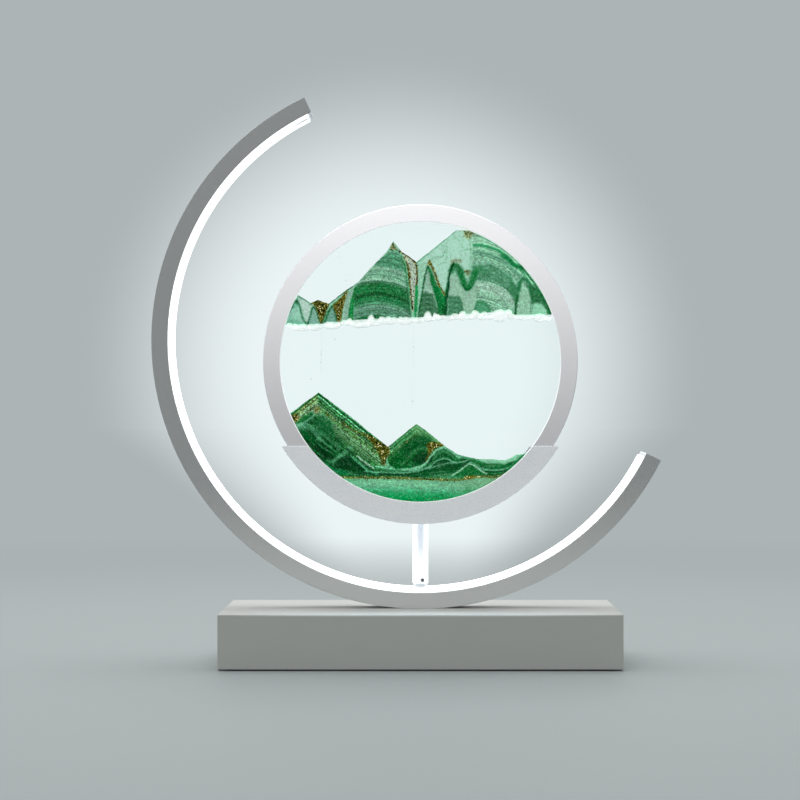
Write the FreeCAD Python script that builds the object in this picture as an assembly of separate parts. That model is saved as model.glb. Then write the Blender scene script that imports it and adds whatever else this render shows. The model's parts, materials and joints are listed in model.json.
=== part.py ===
import FreeCAD, Part

import math
import os

from FreeCAD import Vector

# Moving-sand table lamp. A box-shaped base carries a C-shaped light bar, and a short post on the
# bar carries a crescent cradle. A round sand picture stands in the cradle and is turned by hand.
#
# Millimetres. +X is to the right seen from the front, +Y is away from the front, +Z is up.
# The origin is the centre of the anti-slip pad's underside, on which the lamp stands.
# Angles round the light bar and the picture are in degrees from +X towards +Z.

# ---------------------------------------------------------------- driving dimensions

# base housing
base_length = 200.0
base_depth = 90.0
base_height = 27.8
base_wall = 2.5
base_top_wall = 3.0
base_edge_radius = 0.6
cover_thickness = 2.0
cover_gap = 0.3
pad_thickness = 0.8
pad_inset = 4.0
pad_corner_radius = 3.0
boss_radius = 3.5
boss_corner_distance = 6.0

# ballast plates, which fill the length between the housing's bosses and the board
ballast_width = 60.0
ballast_thickness = 5.0
ballast_boss_gap = 3.0
ballast_board_gap = 7.0

# light bar: an aluminium channel bent to a C, its mouth inwards
bar_radius = 137.0
bar_height = 8.2
bar_width = 17.0
bar_wall = 1.0
bar_floor = 1.2
bar_start_deg = 115.6
bar_end_deg = 333.4
bar_bottom_deg = 270.0
seat_depth = 0.4
seat_side_gap = 0.15

# diffuser, end plugs and LED strips in the channel
diffuser_dome = 3.0
diffuser_wall = 1.2
diffuser_leg = 2.0
plug_length = 2.4
plug_side_gap = 0.8
plug_dome_drop = 0.6
plug_edge_radius = 0.9
strip_width = 10.0
strip_thickness = 0.4
strip_tape = 0.3
strip_end_gap = 1.2
chip_size = 5.0
chip_height = 1.6
chip_pitch = 16.7

# fixings of the light bar and the post
clamp_plate_length = 24.0
clamp_plate_thickness = 2.5
bar_screw_spacing = 16.0
post_bolt_engagement = 12.6
post_height = 30.6
post_radius = 4.0
foot_radius = 3.6
foot_gap = 0.15
foot_stand_out = 1.6
grub_height = 1.6
grub_radius = 1.0
grub_turn_deg = 16.0

# leads
lead_radius = 1.0
lead_hole_gap = 0.3
lead_wide_bend = 4.0
lead_tight_bend = 2.0
jumper_radius = 0.6

# sand picture
ring_radius = 80.0
ring_face_width = 8.7
ring_back_face_width = 7.0
ring_thickness = 20.0
ring_edge_chamfer = 0.25
ring_wall = 3.7
cell_side_gap = 0.3
glass_thickness = 3.0
cavity_depth = 7.0
gasket_width = 4.0
fill_plug_radius = 1.5
ring_screw_count = 6
ring_screw_length = 9.0

# cradle
cradle_wall = 1.7
cradle_lip = 2.5
cradle_cut_share = 0.5375
liner_thickness = 0.5
picture_gap = 0.3

# driver board and what stands on it
board_length = 56.0
board_width = 36.0
board_thickness = 1.6
board_wall_gap = 0.3
standoff_height = 3.0
standoff_radius = 2.5
board_hole_inset = 3.0

# power inlet, a 24-pin USB-C receptacle of standard size
inlet_width = 8.94
inlet_height = 3.16
inlet_depth = 7.35
inlet_shell = 0.35
inlet_mouth_depth = 6.2
inlet_x = -18.0
inlet_gap = 0.3
tongue_width = 6.7
tongue_thickness = 0.7
tongue_length = 5.0

# push button and switch
button_radius = 5.0
button_stand_out = 1.6
button_flange_radius = 6.0
button_flange_thickness = 1.2
button_gap = 0.3
button_rest_gap = 0.2
button_edge_radius = 0.6
button_stem_radius = 2.5
button_stem_length = 1.7
button_travel = 1.2
button_x = 18.0
switch_size = 8.0
switch_depth = 7.6
plunger_radius = 1.7
plunger_stand_out = 2.8
plunger_length = 5.8
plunger_fit = 0.06
plunger_end_gap = 0.4

# board components
connector_length = 8.0
connector_width = 5.0
connector_height = 6.0
connector_inset = 4.3
chip_package_length = 10.0
chip_package_width = 6.0
chip_package_height = 1.8
capacitor_radius = 4.0
capacitor_height = 11.0
inductor_radius = 4.5
inductor_height = 4.5

# screws: shank radius, head radius and head height
m2_shank = 1.0
m2_head = 1.8
m2_head_height = 0.9
m3_shank = 1.5
m3_head = 2.8
m3_head_height = 1.6
m3_low_head_height = 1.0
m4_shank = 2.0
m4_head = 3.5
m4_head_height = 4.0
cover_screw_length = 8.0
board_screw_length = 4.4
cradle_screw_length = 10.0
thread_gap = 0.05
clearance_gap = 0.2
hole_end_gap = 0.5

# ---------------------------------------------------------------- places that follow from them

base_underside_z = pad_thickness
base_ceiling_z = base_height - base_top_wall
cover_top_z = base_underside_z + cover_thickness
rear_wall_inner_y = base_depth / 2 - base_wall
rear_wall_outer_y = base_depth / 2

bar_centre_z = base_height - seat_depth + bar_radius
bar_floor_radius = bar_radius - bar_floor
bar_mouth_radius = bar_radius - bar_height
bar_inner_half = bar_width / 2 - bar_wall
tape_radius = bar_floor_radius - strip_tape
strip_radius = tape_radius - strip_thickness
clamp_plate_radius = bar_floor_radius - clamp_plate_thickness
diffuser_top_radius = bar_mouth_radius - diffuser_dome
diffuser_top_z = bar_centre_z - diffuser_top_radius

foot_bottom_z = bar_centre_z - math.sqrt(clamp_plate_radius**2 - foot_radius**2)
foot_top_z = diffuser_top_z + foot_stand_out
post_bolt_tip_z = foot_top_z + post_bolt_engagement
lead_offset_y = (foot_radius + foot_gap + bar_inner_half - diffuser_wall) / 2
clamp_plate_half_width = lead_offset_y - lead_radius - 2 * lead_hole_gap

ring_inner_radius = ring_radius - ring_face_width
ring_back_inner_radius = ring_radius - ring_back_face_width
ring_bore_radius = ring_radius - ring_wall
ring_screw_radius = (ring_bore_radius + ring_radius) / 2
cell_radius = ring_bore_radius - cell_side_gap
cavity_radius = cell_radius - gasket_width
cavity_half = cavity_depth / 2
glass_outer_y = cavity_half + glass_thickness

liner_radius = ring_radius + picture_gap
groove_radius = liner_radius + liner_thickness
cradle_radius = groove_radius + cradle_wall
groove_half = ring_thickness / 2 + picture_gap
cradle_half = groove_half + cradle_lip
picture_centre_z = foot_top_z + post_height + cradle_radius
cradle_cut_z = picture_centre_z - cradle_cut_share * ring_radius
groove_bottom_z = picture_centre_z - groove_radius

board_z = cover_top_z + standoff_height
board_top_z = board_z + board_thickness
board_rear_y = rear_wall_inner_y - board_wall_gap
board_front_y = board_rear_y - board_width
button_z = board_top_z + switch_size / 2
flange_rear_y = rear_wall_inner_y - button_rest_gap
flange_front_y = flange_rear_y - button_flange_thickness
stem_front_y = flange_front_y - button_stem_length
switch_rear_y = stem_front_y - plunger_stand_out
notch_front_y = flange_front_y - button_travel - 2 * button_gap
connector_y = board_front_y + connector_inset

# ---------------------------------------------------------------- sand outlines

# Drawn as (x, height above the picture's centre) for a cell of this inner radius. Outlines run
# well past the cell's edge, and the cell's round wall trims them.
sand_drawn_radius = 72.0

upper_sand_top = [
    (-95.0, 27.0), (-66.4, 27.1), (-62.7, 34.5), (-56.3, 30.3), (-52.7, 31.9), (-46.8, 29.9),
    (-38.1, 36.8), (-31.7, 40.9), (-26.4, 47.2), (-17.2, 56.3), (-13.9, 61.9), (-9.8, 56.7),
    (-2.0, 51.3), (5.7, 57.3), (18.1, 67.3), (24.7, 67.3), (32.0, 95.0), (95.0, 95.0),
]
upper_sand_underside = [
    (95.0, 24.5), (48.8, 24.5), (42.1, 26.1), (19.4, 24.5), (7.4, 23.5), (-20.8, 22.5),
    (-35.6, 21.7), (-49.9, 19.9), (-68.3, 18.9), (-95.0, 18.9),
]
lower_sand_top = [
    (-95.0, -26.0), (-66.4, -26.1), (-52.2, -15.5), (-35.4, -28.1), (-26.4, -35.6),
    (-16.7, -43.4), (-2.0, -31.5), (3.8, -35.6), (12.0, -42.4), (19.4, -47.4), (29.3, -49.6),
    (44.2, -50.1), (49.5, -47.4), (55.9, -46.3), (95.0, -46.0),
]
lower_sand_underside = [(95.0, -95.0), (-95.0, -95.0)]


# ---------------------------------------------------------------- helpers

def block(x0, x1, y0, y1, z0, z1):
    """A box between two corners."""
    return Part.makeBox(x1 - x0, y1 - y0, z1 - z0, Vector(x0, y0, z0))


def rod(radius, start, end):
    """A cylinder from one point to another."""
    way = end - start
    return Part.makeCylinder(radius, way.Length, start, way)


def taper(radius_start, radius_end, start, end):
    """A cone frustum from one point to another."""
    way = end - start
    return Part.makeCone(radius_start, radius_end, way.Length, start, way)


def polygon_face(points):
    """A flat face on a closed outline."""
    return Part.Face(Part.makePolygon(points + [points[0]]))


def swept(section, start_deg, end_deg, centre_z):
    """Turn a section, drawn with X as the radius, about the Y axis at the height centre_z."""
    back = Vector(0, -1, 0)
    solid = section.revolve(Vector(0, 0, 0), back, end_deg - start_deg)
    solid.rotate(Vector(0, 0, 0), back, start_deg)
    solid.translate(Vector(0, 0, centre_z))
    return solid


def rectangle_section(radius_in, radius_out, y0, y1):
    """A rectangular section for swept()."""
    return polygon_face([
        Vector(radius_in, y0, 0), Vector(radius_out, y0, 0),
        Vector(radius_out, y1, 0), Vector(radius_in, y1, 0),
    ])


def hoop(radius_in, radius_out, y0, y1):
    """A full ring round the picture's centre."""
    return swept(rectangle_section(radius_in, radius_out, y0, y1), 0, 360, picture_centre_z)


def stadium_prism(width, height, x, z, y0, y1):
    """A prism along Y whose section is a rectangle with round ends."""
    half = width / 2 - height / 2
    middle = block(x - half, x + half, y0, y1, z - height / 2, z + height / 2)
    ends = [rod(height / 2, Vector(x + side * half, y0, z), Vector(x + side * half, y1, z))
            for side in (-1, 1)]
    return middle.fuse(ends).removeSplitter()


def cross_recess(face_point, inwards, size, depth):
    """Two crossed slots, cut into a screw's head."""
    slots = []
    for turn in (0, 90):
        slot = Part.makeBox(size, size / 4, depth, Vector(-size / 2, -size / 8, 0))
        slot.rotate(Vector(0, 0, 0), Vector(0, 0, 1), turn)
        slots.append(slot)
    cross = slots[0].fuse(slots[1])
    cross.Placement = FreeCAD.Placement(face_point, FreeCAD.Rotation(Vector(0, 0, 1), inwards))
    return cross


def countersunk_screw(face_point, inwards, shank, head, head_height, length):
    """A flush screw: its flat head lies at face_point and it points inwards."""
    neck = face_point + inwards * head_height
    solid = taper(head, shank, face_point, neck).fuse(rod(shank, neck, face_point + inwards * length))
    return solid.cut(cross_recess(face_point, inwards, head, head_height / 2))


def countersunk_hole(face_point, inwards, shank, head, head_height, length, gap):
    """The hole that a countersunk screw lies in."""
    neck = face_point + inwards * head_height
    cone = taper(head + gap, shank + gap, face_point, neck)
    return cone.fuse(rod(shank + gap, face_point, face_point + inwards * length))


def headed_screw(seat_point, inwards, shank, head, head_height, length):
    """A screw whose head rests on seat_point, outside the hole, and which points inwards."""
    top = seat_point - inwards * head_height
    solid = rod(head, top, seat_point).fuse(rod(shank, seat_point, seat_point + inwards * length))
    return solid.cut(cross_recess(top, inwards, head, head_height / 2))


def tube_along(points, radius, bend_radii):
    """A round lead through points, each corner rounded with a tangent arc of its own radius."""
    edges = []
    start = points[0]
    for before, corner, after, bend_radius in zip(points, points[1:], points[2:], bend_radii):
        way_in = (corner - before).normalize()
        way_out = (after - corner).normalize()
        half_turn = way_in.getAngle(way_out) / 2
        shorter_run = min((corner - before).Length, (after - corner).Length)
        cut = min(bend_radius * math.tan(half_turn), 0.45 * shorter_run)
        arc_radius = cut / math.tan(half_turn)
        arc_start = corner - way_in * cut
        arc_end = corner + way_out * cut
        inwards = (way_out - way_in).normalize()
        arc_middle = corner + inwards * (arc_radius / math.cos(half_turn) - arc_radius)
        edges.append(Part.LineSegment(start, arc_start).toShape())
        edges.append(Part.Arc(arc_start, arc_middle, arc_end).toShape())
        start = arc_end
    edges.append(Part.LineSegment(start, points[-1]).toShape())
    path = Part.Wire(edges)
    first_way = (points[1] - points[0]).normalize()
    profile = Part.Wire([Part.makeCircle(radius, points[0], first_way)])
    return path.makePipeShell([profile], True, False)


def fillet_edges(solid, radius, chosen):
    """Round the edges for which chosen(edge) is true."""
    return solid.makeFillet(radius, [edge for edge in solid.Edges if chosen(edge)])


# ---------------------------------------------------------------- base

def cover_screw_places():
    """The four corners at which the cover is screwed to the housing."""
    x = base_length / 2 - base_wall - boss_corner_distance
    y = base_depth / 2 - base_wall - boss_corner_distance
    return [(side_x * x, side_y * y) for side_x in (-1, 1) for side_y in (-1, 1)]


def board_screw_places():
    """The four corners at which the board is screwed down."""
    x = board_length / 2 - board_hole_inset
    return [(side * x, y) for side in (-1, 1)
            for y in (board_front_y + board_hole_inset, board_rear_y - 2 * board_hole_inset)]


def bar_screw_places():
    """The two screws that hold the light bar, one each side of the post's bolt."""
    return [-bar_screw_spacing / 2, bar_screw_spacing / 2]


def bar_fixing_holes(gap, z0, z1):
    """Upright holes for the bar screws and the post's bolt."""
    holes = [rod(m3_shank + gap, Vector(x, 0, z0), Vector(x, 0, z1)) for x in bar_screw_places()]
    holes.append(rod(m4_shank + gap, Vector(0, 0, z0), Vector(0, 0, z1)))
    return holes


def lead_hole(z0, z1):
    """The upright hole through which the lead rises into the light bar."""
    radius = lead_radius + lead_hole_gap
    return rod(radius, Vector(0, lead_offset_y, z0), Vector(0, lead_offset_y, z1))


def base_shell():
    """The white housing, open underneath, with the seat for the light bar in its top."""
    outer = block(-base_length / 2, base_length / 2, -base_depth / 2, base_depth / 2,
                  base_underside_z, base_height)
    outer = fillet_edges(outer, base_edge_radius, lambda edge: edge.BoundBox.ZMax > base_underside_z)
    inner = block(base_wall - base_length / 2, base_length / 2 - base_wall,
                  base_wall - base_depth / 2, base_depth / 2 - base_wall,
                  base_underside_z, base_ceiling_z)
    shell = outer.cut(inner)
    bosses = [rod(boss_radius, Vector(x, y, cover_top_z), Vector(x, y, base_ceiling_z))
              for x, y in cover_screw_places()]
    shell = shell.fuse(bosses)
    seat_half = bar_width / 2 + seat_side_gap
    seat = rod(bar_radius, Vector(0, -seat_half, bar_centre_z), Vector(0, seat_half, bar_centre_z))
    pilot_top = base_underside_z + cover_screw_length + hole_end_gap
    pilots = [rod(m3_shank + thread_gap, Vector(x, y, cover_top_z), Vector(x, y, pilot_top))
              for x, y in cover_screw_places()]
    inlet_hole = stadium_prism(inlet_width + 2 * inlet_gap, inlet_height + 2 * inlet_gap,
                               inlet_x, board_top_z + inlet_height / 2,
                               rear_wall_inner_y, rear_wall_outer_y)
    button_hole = rod(button_radius + button_gap, Vector(button_x, rear_wall_inner_y, button_z),
                      Vector(button_x, rear_wall_outer_y, button_z))
    cuts = bar_fixing_holes(clearance_gap, base_ceiling_z, base_height) + pilots
    cuts += [seat, lead_hole(base_ceiling_z, base_height), inlet_hole, button_hole]
    return shell.cut(cuts)


def base_cover():
    """The bottom plate, with countersunk holes and the board's standoffs."""
    half_x = base_length / 2 - base_wall - cover_gap
    half_y = base_depth / 2 - base_wall - cover_gap
    plate = block(-half_x, half_x, -half_y, half_y, base_underside_z, cover_top_z)
    standoffs = [rod(standoff_radius, Vector(x, y, cover_top_z), Vector(x, y, board_z))
                 for x, y in board_screw_places()]
    plate = plate.fuse(standoffs)
    up = Vector(0, 0, 1)
    cuts = [countersunk_hole(Vector(x, y, base_underside_z), up, m3_shank, m3_head,
                             m3_head_height, cover_thickness, clearance_gap)
            for x, y in cover_screw_places()]
    pilot_bottom = board_top_z - board_screw_length - hole_end_gap
    cuts += [rod(m2_shank + thread_gap, Vector(x, y, pilot_bottom), Vector(x, y, board_z))
             for x, y in board_screw_places()]
    return plate.cut(cuts)


def cover_screws():
    """Four countersunk screws from below."""
    return [countersunk_screw(Vector(x, y, base_underside_z), Vector(0, 0, 1), m3_shank, m3_head,
                              m3_head_height, cover_screw_length)
            for x, y in cover_screw_places()]


def antislip_pad():
    """The foam pad under the cover, on which the lamp stands."""
    half_x = base_length / 2 - pad_inset
    half_y = base_depth / 2 - pad_inset
    pad = block(-half_x, half_x, -half_y, half_y, 0, pad_thickness)
    return fillet_edges(pad, pad_corner_radius, lambda edge: edge.BoundBox.ZLength > pad_thickness / 2)


def ballast_plates():
    """Two steel plates stuck to the cover, one at each end."""
    inner_x = board_length / 2 + ballast_board_gap
    outer_x = base_length / 2 - base_wall - boss_corner_distance - boss_radius - ballast_boss_gap
    return [block(x0, x1, -ballast_width / 2, ballast_width / 2,
                  cover_top_z, cover_top_z + ballast_thickness)
            for x0, x1 in ((-outer_x, -inner_x), (inner_x, outer_x))]


# ---------------------------------------------------------------- driver board, inlet and switch

def driver_board():
    """The circuit board, with a notch that clears the button's flange."""
    board = block(-board_length / 2, board_length / 2, board_front_y, board_rear_y,
                  board_z, board_top_z)
    notch_half = button_flange_radius + button_gap
    notch = block(button_x - notch_half, button_x + notch_half,
                  notch_front_y, board_rear_y, board_z, board_top_z)
    holes = [rod(m2_shank + clearance_gap, Vector(x, y, board_z), Vector(x, y, board_top_z))
             for x, y in board_screw_places()]
    return board.cut(holes + [notch])


def board_screws():
    """Four small screws through the board into the standoffs."""
    return [headed_screw(Vector(x, y, board_top_z), Vector(0, 0, -1), m2_shank, m2_head,
                         m2_head_height, board_screw_length)
            for x, y in board_screw_places()]


def driver_chip():
    """The LED driver's package, between the connector and the inlet."""
    y = board_front_y + board_width / 2
    return block(-chip_package_length / 2, chip_package_length / 2,
                 y - chip_package_width / 2, y + chip_package_width / 2,
                 board_top_z, board_top_z + chip_package_height)


def filter_capacitor():
    """An upright can on the board's left half."""
    x = -board_length / 4
    y = board_front_y + board_width / 3
    return rod(capacitor_radius, Vector(x, y, board_top_z), Vector(x, y, board_top_z + capacitor_height))


def inductor():
    """A round shielded inductor on the board's right half."""
    x = board_length / 4
    y = board_front_y + board_width / 3
    return rod(inductor_radius, Vector(x, y, board_top_z), Vector(x, y, board_top_z + inductor_height))


def lead_connector():
    """The socket from which the lead rises to the light bar."""
    return block(-connector_length / 2, connector_length / 2,
                 connector_y - connector_width / 2, connector_y + connector_width / 2,
                 board_top_z, board_top_z + connector_height)


def power_inlet():
    """The receptacle's steel shell, its mouth flush with the housing's rear."""
    z = board_top_z + inlet_height / 2
    body = stadium_prism(inlet_width, inlet_height, inlet_x, z,
                         rear_wall_outer_y - inlet_depth, rear_wall_outer_y)
    mouth = stadium_prism(inlet_width - 2 * inlet_shell, inlet_height - 2 * inlet_shell, inlet_x, z,
                          rear_wall_outer_y - inlet_mouth_depth, rear_wall_outer_y)
    return body.cut(mouth)


def inlet_tongue():
    """The contact tongue in the receptacle's mouth."""
    z = board_top_z + inlet_height / 2
    y = rear_wall_outer_y - inlet_mouth_depth
    return block(inlet_x - tongue_width / 2, inlet_x + tongue_width / 2, y, y + tongue_length,
                 z - tongue_thickness / 2, z + tongue_thickness / 2)


def switch_body():
    """The push switch's case on the board, bored for its plunger."""
    case = block(button_x - switch_size / 2, button_x + switch_size / 2,
                 switch_rear_y - switch_depth, switch_rear_y,
                 board_top_z, board_top_z + switch_size)
    bore_depth = plunger_length - plunger_stand_out + button_travel + plunger_end_gap
    bore = rod(plunger_radius + plunger_fit, Vector(button_x, switch_rear_y - bore_depth, button_z),
               Vector(button_x, switch_rear_y, button_z))
    return case.cut(bore)


def switch_plunger():
    """The plunger, which the button's stem bears on."""
    return rod(plunger_radius, Vector(button_x, stem_front_y - plunger_length, button_z),
               Vector(button_x, stem_front_y, button_z))


def button_cap():
    """The round button in the housing's rear, kept in by its flange."""
    face_y = rear_wall_outer_y + button_stand_out

    def turned(radius, y0, y1):
        return rod(radius, Vector(button_x, y0, button_z), Vector(button_x, y1, button_z))

    head = turned(button_radius, flange_rear_y, face_y)
    head = fillet_edges(head, button_edge_radius, lambda edge: edge.BoundBox.YMin > face_y - 0.01)
    flange = turned(button_flange_radius, flange_front_y, flange_rear_y)
    stem = turned(button_stem_radius, stem_front_y, flange_front_y)
    return head.fuse([flange, stem])


# ---------------------------------------------------------------- light bar

def arc_degrees(length, radius):
    """The angle that a length spans on a radius."""
    return math.degrees(length / radius)


plug_deg = arc_degrees(plug_length, bar_mouth_radius)
strip_gap_deg = arc_degrees(strip_end_gap, strip_radius)
clamp_half_deg = arc_degrees(clamp_plate_length / 2, bar_floor_radius)
long_strip_span = (bar_start_deg + plug_deg + strip_gap_deg,
                   bar_bottom_deg - clamp_half_deg - strip_gap_deg)
short_strip_span = (bar_bottom_deg + clamp_half_deg + strip_gap_deg,
                    bar_end_deg - plug_deg - strip_gap_deg)


def arc_channel():
    """The C-shaped aluminium channel, its mouth towards the picture."""
    half = bar_width / 2
    outline = [
        (bar_radius, -half), (bar_radius, half), (bar_mouth_radius, half),
        (bar_mouth_radius, bar_inner_half), (bar_floor_radius, bar_inner_half),
        (bar_floor_radius, -bar_inner_half), (bar_mouth_radius, -bar_inner_half),
        (bar_mouth_radius, -half),
    ]
    section = polygon_face([Vector(r, y, 0) for r, y in outline])
    channel = swept(section, bar_start_deg, bar_end_deg, bar_centre_z)
    hole_top_z = bar_centre_z - clamp_plate_radius
    holes = bar_fixing_holes(clearance_gap, base_ceiling_z, hole_top_z)
    return channel.cut(holes + [lead_hole(base_ceiling_z, hole_top_z)])


def dome_edge(half_width, edge_radius, top_radius):
    """An arc across the channel's mouth."""
    return Part.Arc(Vector(edge_radius, -half_width, 0), Vector(top_radius, 0, 0),
                    Vector(edge_radius, half_width, 0)).toShape()


def arc_diffuser():
    """The milky domed cover, whose legs stand between the channel's walls."""
    half = bar_inner_half
    inner_half = half - diffuser_wall
    leg_radius = bar_mouth_radius + diffuser_leg
    outer = dome_edge(half, bar_mouth_radius, diffuser_top_radius)
    inner = dome_edge(inner_half, bar_mouth_radius, diffuser_top_radius + diffuser_wall)
    right_leg = Part.makePolygon([Vector(r, y, 0) for r, y in (
        (bar_mouth_radius, half), (leg_radius, half), (leg_radius, inner_half),
        (bar_mouth_radius, inner_half))])
    left_leg = Part.makePolygon([Vector(r, y, 0) for r, y in (
        (bar_mouth_radius, -inner_half), (leg_radius, -inner_half), (leg_radius, -half),
        (bar_mouth_radius, -half))])
    section = Part.Face(Part.Wire([outer] + right_leg.Edges + [inner] + left_leg.Edges))
    cover = swept(section, bar_start_deg + plug_deg, bar_end_deg - plug_deg, bar_centre_z)
    return cover.cut(rod(foot_radius + foot_gap, Vector(0, 0, foot_bottom_z), Vector(0, 0, foot_top_z)))


def end_plug(start_deg):
    """A soft translucent plug in the channel, a little smaller than the diffuser, with round ends."""
    half = bar_inner_half - plug_side_gap
    top = dome_edge(half, bar_mouth_radius, diffuser_top_radius + plug_dome_drop)
    sides = Part.makePolygon([Vector(bar_mouth_radius, half, 0), Vector(bar_floor_radius, half, 0),
                              Vector(bar_floor_radius, -half, 0), Vector(bar_mouth_radius, -half, 0)])
    section = Part.Face(Part.Wire([top] + sides.Edges))
    plug = swept(section, start_deg, start_deg + plug_deg, bar_centre_z)

    def is_dome_arc(edge):
        middle = edge.valueAt((edge.FirstParameter + edge.LastParameter) / 2)
        reach = (middle - Vector(0, 0, bar_centre_z)).Length
        return reach < bar_mouth_radius - diffuser_dome / 2

    return fillet_edges(plug, plug_edge_radius, is_dome_arc)


def led_strip(span):
    """A strip taped to the channel's floor."""
    section = rectangle_section(strip_radius, tape_radius, -strip_width / 2, strip_width / 2)
    return swept(section, span[0], span[1], bar_centre_z)


def led_chips():
    """The chips, evenly spaced on both strips."""
    pitch_deg = arc_degrees(chip_pitch, strip_radius)
    chip_deg = arc_degrees(chip_size, strip_radius)
    section = rectangle_section(strip_radius - chip_height, strip_radius, -chip_size / 2, chip_size / 2)
    chips = []
    for start_deg, end_deg in (long_strip_span, short_strip_span):
        count = int((end_deg - start_deg) / pitch_deg)
        spare_deg = end_deg - start_deg - (count - 1) * pitch_deg
        for index in range(count):
            middle_deg = start_deg + spare_deg / 2 + index * pitch_deg
            chips.append(swept(section, middle_deg - chip_deg / 2, middle_deg + chip_deg / 2,
                               bar_centre_z))
    return chips


def clamp_plate():
    """The tapped plate in the channel, which the bar screws pull down."""
    section = rectangle_section(clamp_plate_radius, bar_floor_radius,
                                -clamp_plate_half_width, clamp_plate_half_width)
    plate = swept(section, bar_bottom_deg - clamp_half_deg, bar_bottom_deg + clamp_half_deg,
                  bar_centre_z)
    return plate.cut(bar_fixing_holes(thread_gap, base_ceiling_z, foot_top_z))


def bar_screws():
    """Two screws from inside the base, through its top and the channel, into the clamp plate."""
    length = bar_centre_z - clamp_plate_radius - base_ceiling_z
    return [headed_screw(Vector(x, 0, base_ceiling_z), Vector(0, 0, 1), m3_shank, m3_head,
                         m3_head_height, length)
            for x in bar_screw_places()]


def lead_height(x):
    """The height of the LED strip's face inside the channel at a place x."""
    return bar_centre_z - math.sqrt(strip_radius**2 - x**2)


def arc_lead():
    """The lead from the board's connector up to the pads of the long strip."""
    pad_x = -(clamp_plate_length / 2 + 2 * strip_end_gap)
    top_z = lead_height(pad_x) + lead_radius + thread_gap
    socket_z = board_top_z + connector_height
    rise = (base_ceiling_z - socket_z) / 2
    points = [
        Vector(0, connector_y, socket_z),
        Vector(0, connector_y, socket_z + rise),
        Vector(0, lead_offset_y, base_ceiling_z - lead_radius),
        Vector(0, lead_offset_y, top_z),
        Vector(pad_x, lead_offset_y, top_z),
    ]
    return tube_along(points, lead_radius, [lead_wide_bend, lead_wide_bend, lead_tight_bend])


def strip_jumper():
    """A straight wire past the post's foot that joins the pads of the two strips."""
    pad_x = clamp_plate_length / 2 + 2 * strip_end_gap
    z = lead_height(pad_x) + jumper_radius + thread_gap
    return rod(jumper_radius, Vector(-pad_x, -lead_offset_y, z), Vector(pad_x, -lead_offset_y, z))


# ---------------------------------------------------------------- post

def post_bolt():
    """The long bolt from inside the base, through bar and foot, into the post."""
    return headed_screw(Vector(0, 0, base_ceiling_z), Vector(0, 0, 1), m4_shank, m4_head,
                        m4_head_height, post_bolt_tip_z - base_ceiling_z)


def post_foot():
    """The clear collar that carries the post through the diffuser."""
    collar = rod(foot_radius, Vector(0, 0, foot_bottom_z), Vector(0, 0, foot_top_z))
    return collar.cut(rod(m4_shank + thread_gap, Vector(0, 0, foot_bottom_z), Vector(0, 0, foot_top_z)))


def grub_rod(radius, reach):
    """A rod from the post's axis towards its front wall, at the grub screw's height."""
    turn = math.radians(grub_turn_deg)
    outwards = Vector(math.sin(turn), -math.cos(turn), 0)
    middle = Vector(0, 0, foot_top_z + grub_height)
    return rod(radius, middle, middle + outwards * reach)


def post():
    """The glowing rod between the foot and the cradle."""
    column = rod(post_radius, Vector(0, 0, foot_top_z), Vector(0, 0, picture_centre_z - ring_radius))
    saddle = rod(cradle_radius, Vector(0, -cradle_half, picture_centre_z),
                 Vector(0, cradle_half, picture_centre_z))
    bolt_bore = rod(m4_shank + thread_gap, Vector(0, 0, foot_top_z),
                    Vector(0, 0, post_bolt_tip_z + hole_end_gap))
    screw_bore = rod(m3_shank + thread_gap,
                     Vector(0, 0, groove_bottom_z - m3_low_head_height - cradle_screw_length - hole_end_gap),
                     Vector(0, 0, picture_centre_z - ring_radius))
    grub_bore = grub_rod(grub_radius + thread_gap, 2 * post_radius)
    return column.cut([saddle, bolt_bore, screw_bore, grub_bore])


def post_grub_screw():
    """The small screw that locks the bolt in the post."""
    socket_floor = (post_radius + m4_shank) / 2
    socket = grub_rod(grub_radius / 2, post_radius).cut(grub_rod(grub_radius, socket_floor))
    bolt_room = rod(m4_shank + thread_gap, Vector(0, 0, foot_top_z), Vector(0, 0, post_bolt_tip_z))
    return grub_rod(grub_radius, post_radius).cut([socket, bolt_room])


def cradle_screw():
    """The low-head screw from the cradle's groove into the post."""
    seat = Vector(0, 0, groove_bottom_z - m3_low_head_height)
    return headed_screw(seat, Vector(0, 0, -1), m3_shank, m3_head, m3_low_head_height,
                        cradle_screw_length)


# ---------------------------------------------------------------- cradle

def below_cut(solid):
    """What lies below the cradle's level top."""
    reach = 2 * cradle_radius
    return solid.common(block(-reach, reach, -reach, reach, picture_centre_z - reach, cradle_cut_z))


def cradle():
    """The crescent, with a groove between two lips in which the picture stands."""
    outline = [
        (cradle_radius, -cradle_half), (cradle_radius, cradle_half),
        (ring_inner_radius, cradle_half), (ring_inner_radius, groove_half),
        (groove_radius, groove_half), (groove_radius, -groove_half),
        (ring_inner_radius, -groove_half), (ring_inner_radius, -cradle_half),
    ]
    section = polygon_face([Vector(r, y, 0) for r, y in outline])
    crescent = below_cut(swept(section, 180, 360, picture_centre_z))
    head_bottom_z = groove_bottom_z - m3_low_head_height
    head_room = rod(m3_head + clearance_gap, Vector(0, 0, head_bottom_z),
                    Vector(0, 0, picture_centre_z - liner_radius))
    shank_room = rod(m3_shank + clearance_gap, Vector(0, 0, picture_centre_z - cradle_radius),
                     Vector(0, 0, head_bottom_z))
    return crescent.cut([head_room, shank_room])


def cradle_liner():
    """The felt strip on the groove's floor that the picture turns on."""
    section = rectangle_section(liner_radius, groove_radius, -groove_half, groove_half)
    return below_cut(swept(section, 180, 360, picture_centre_z))


# ---------------------------------------------------------------- sand picture

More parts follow.
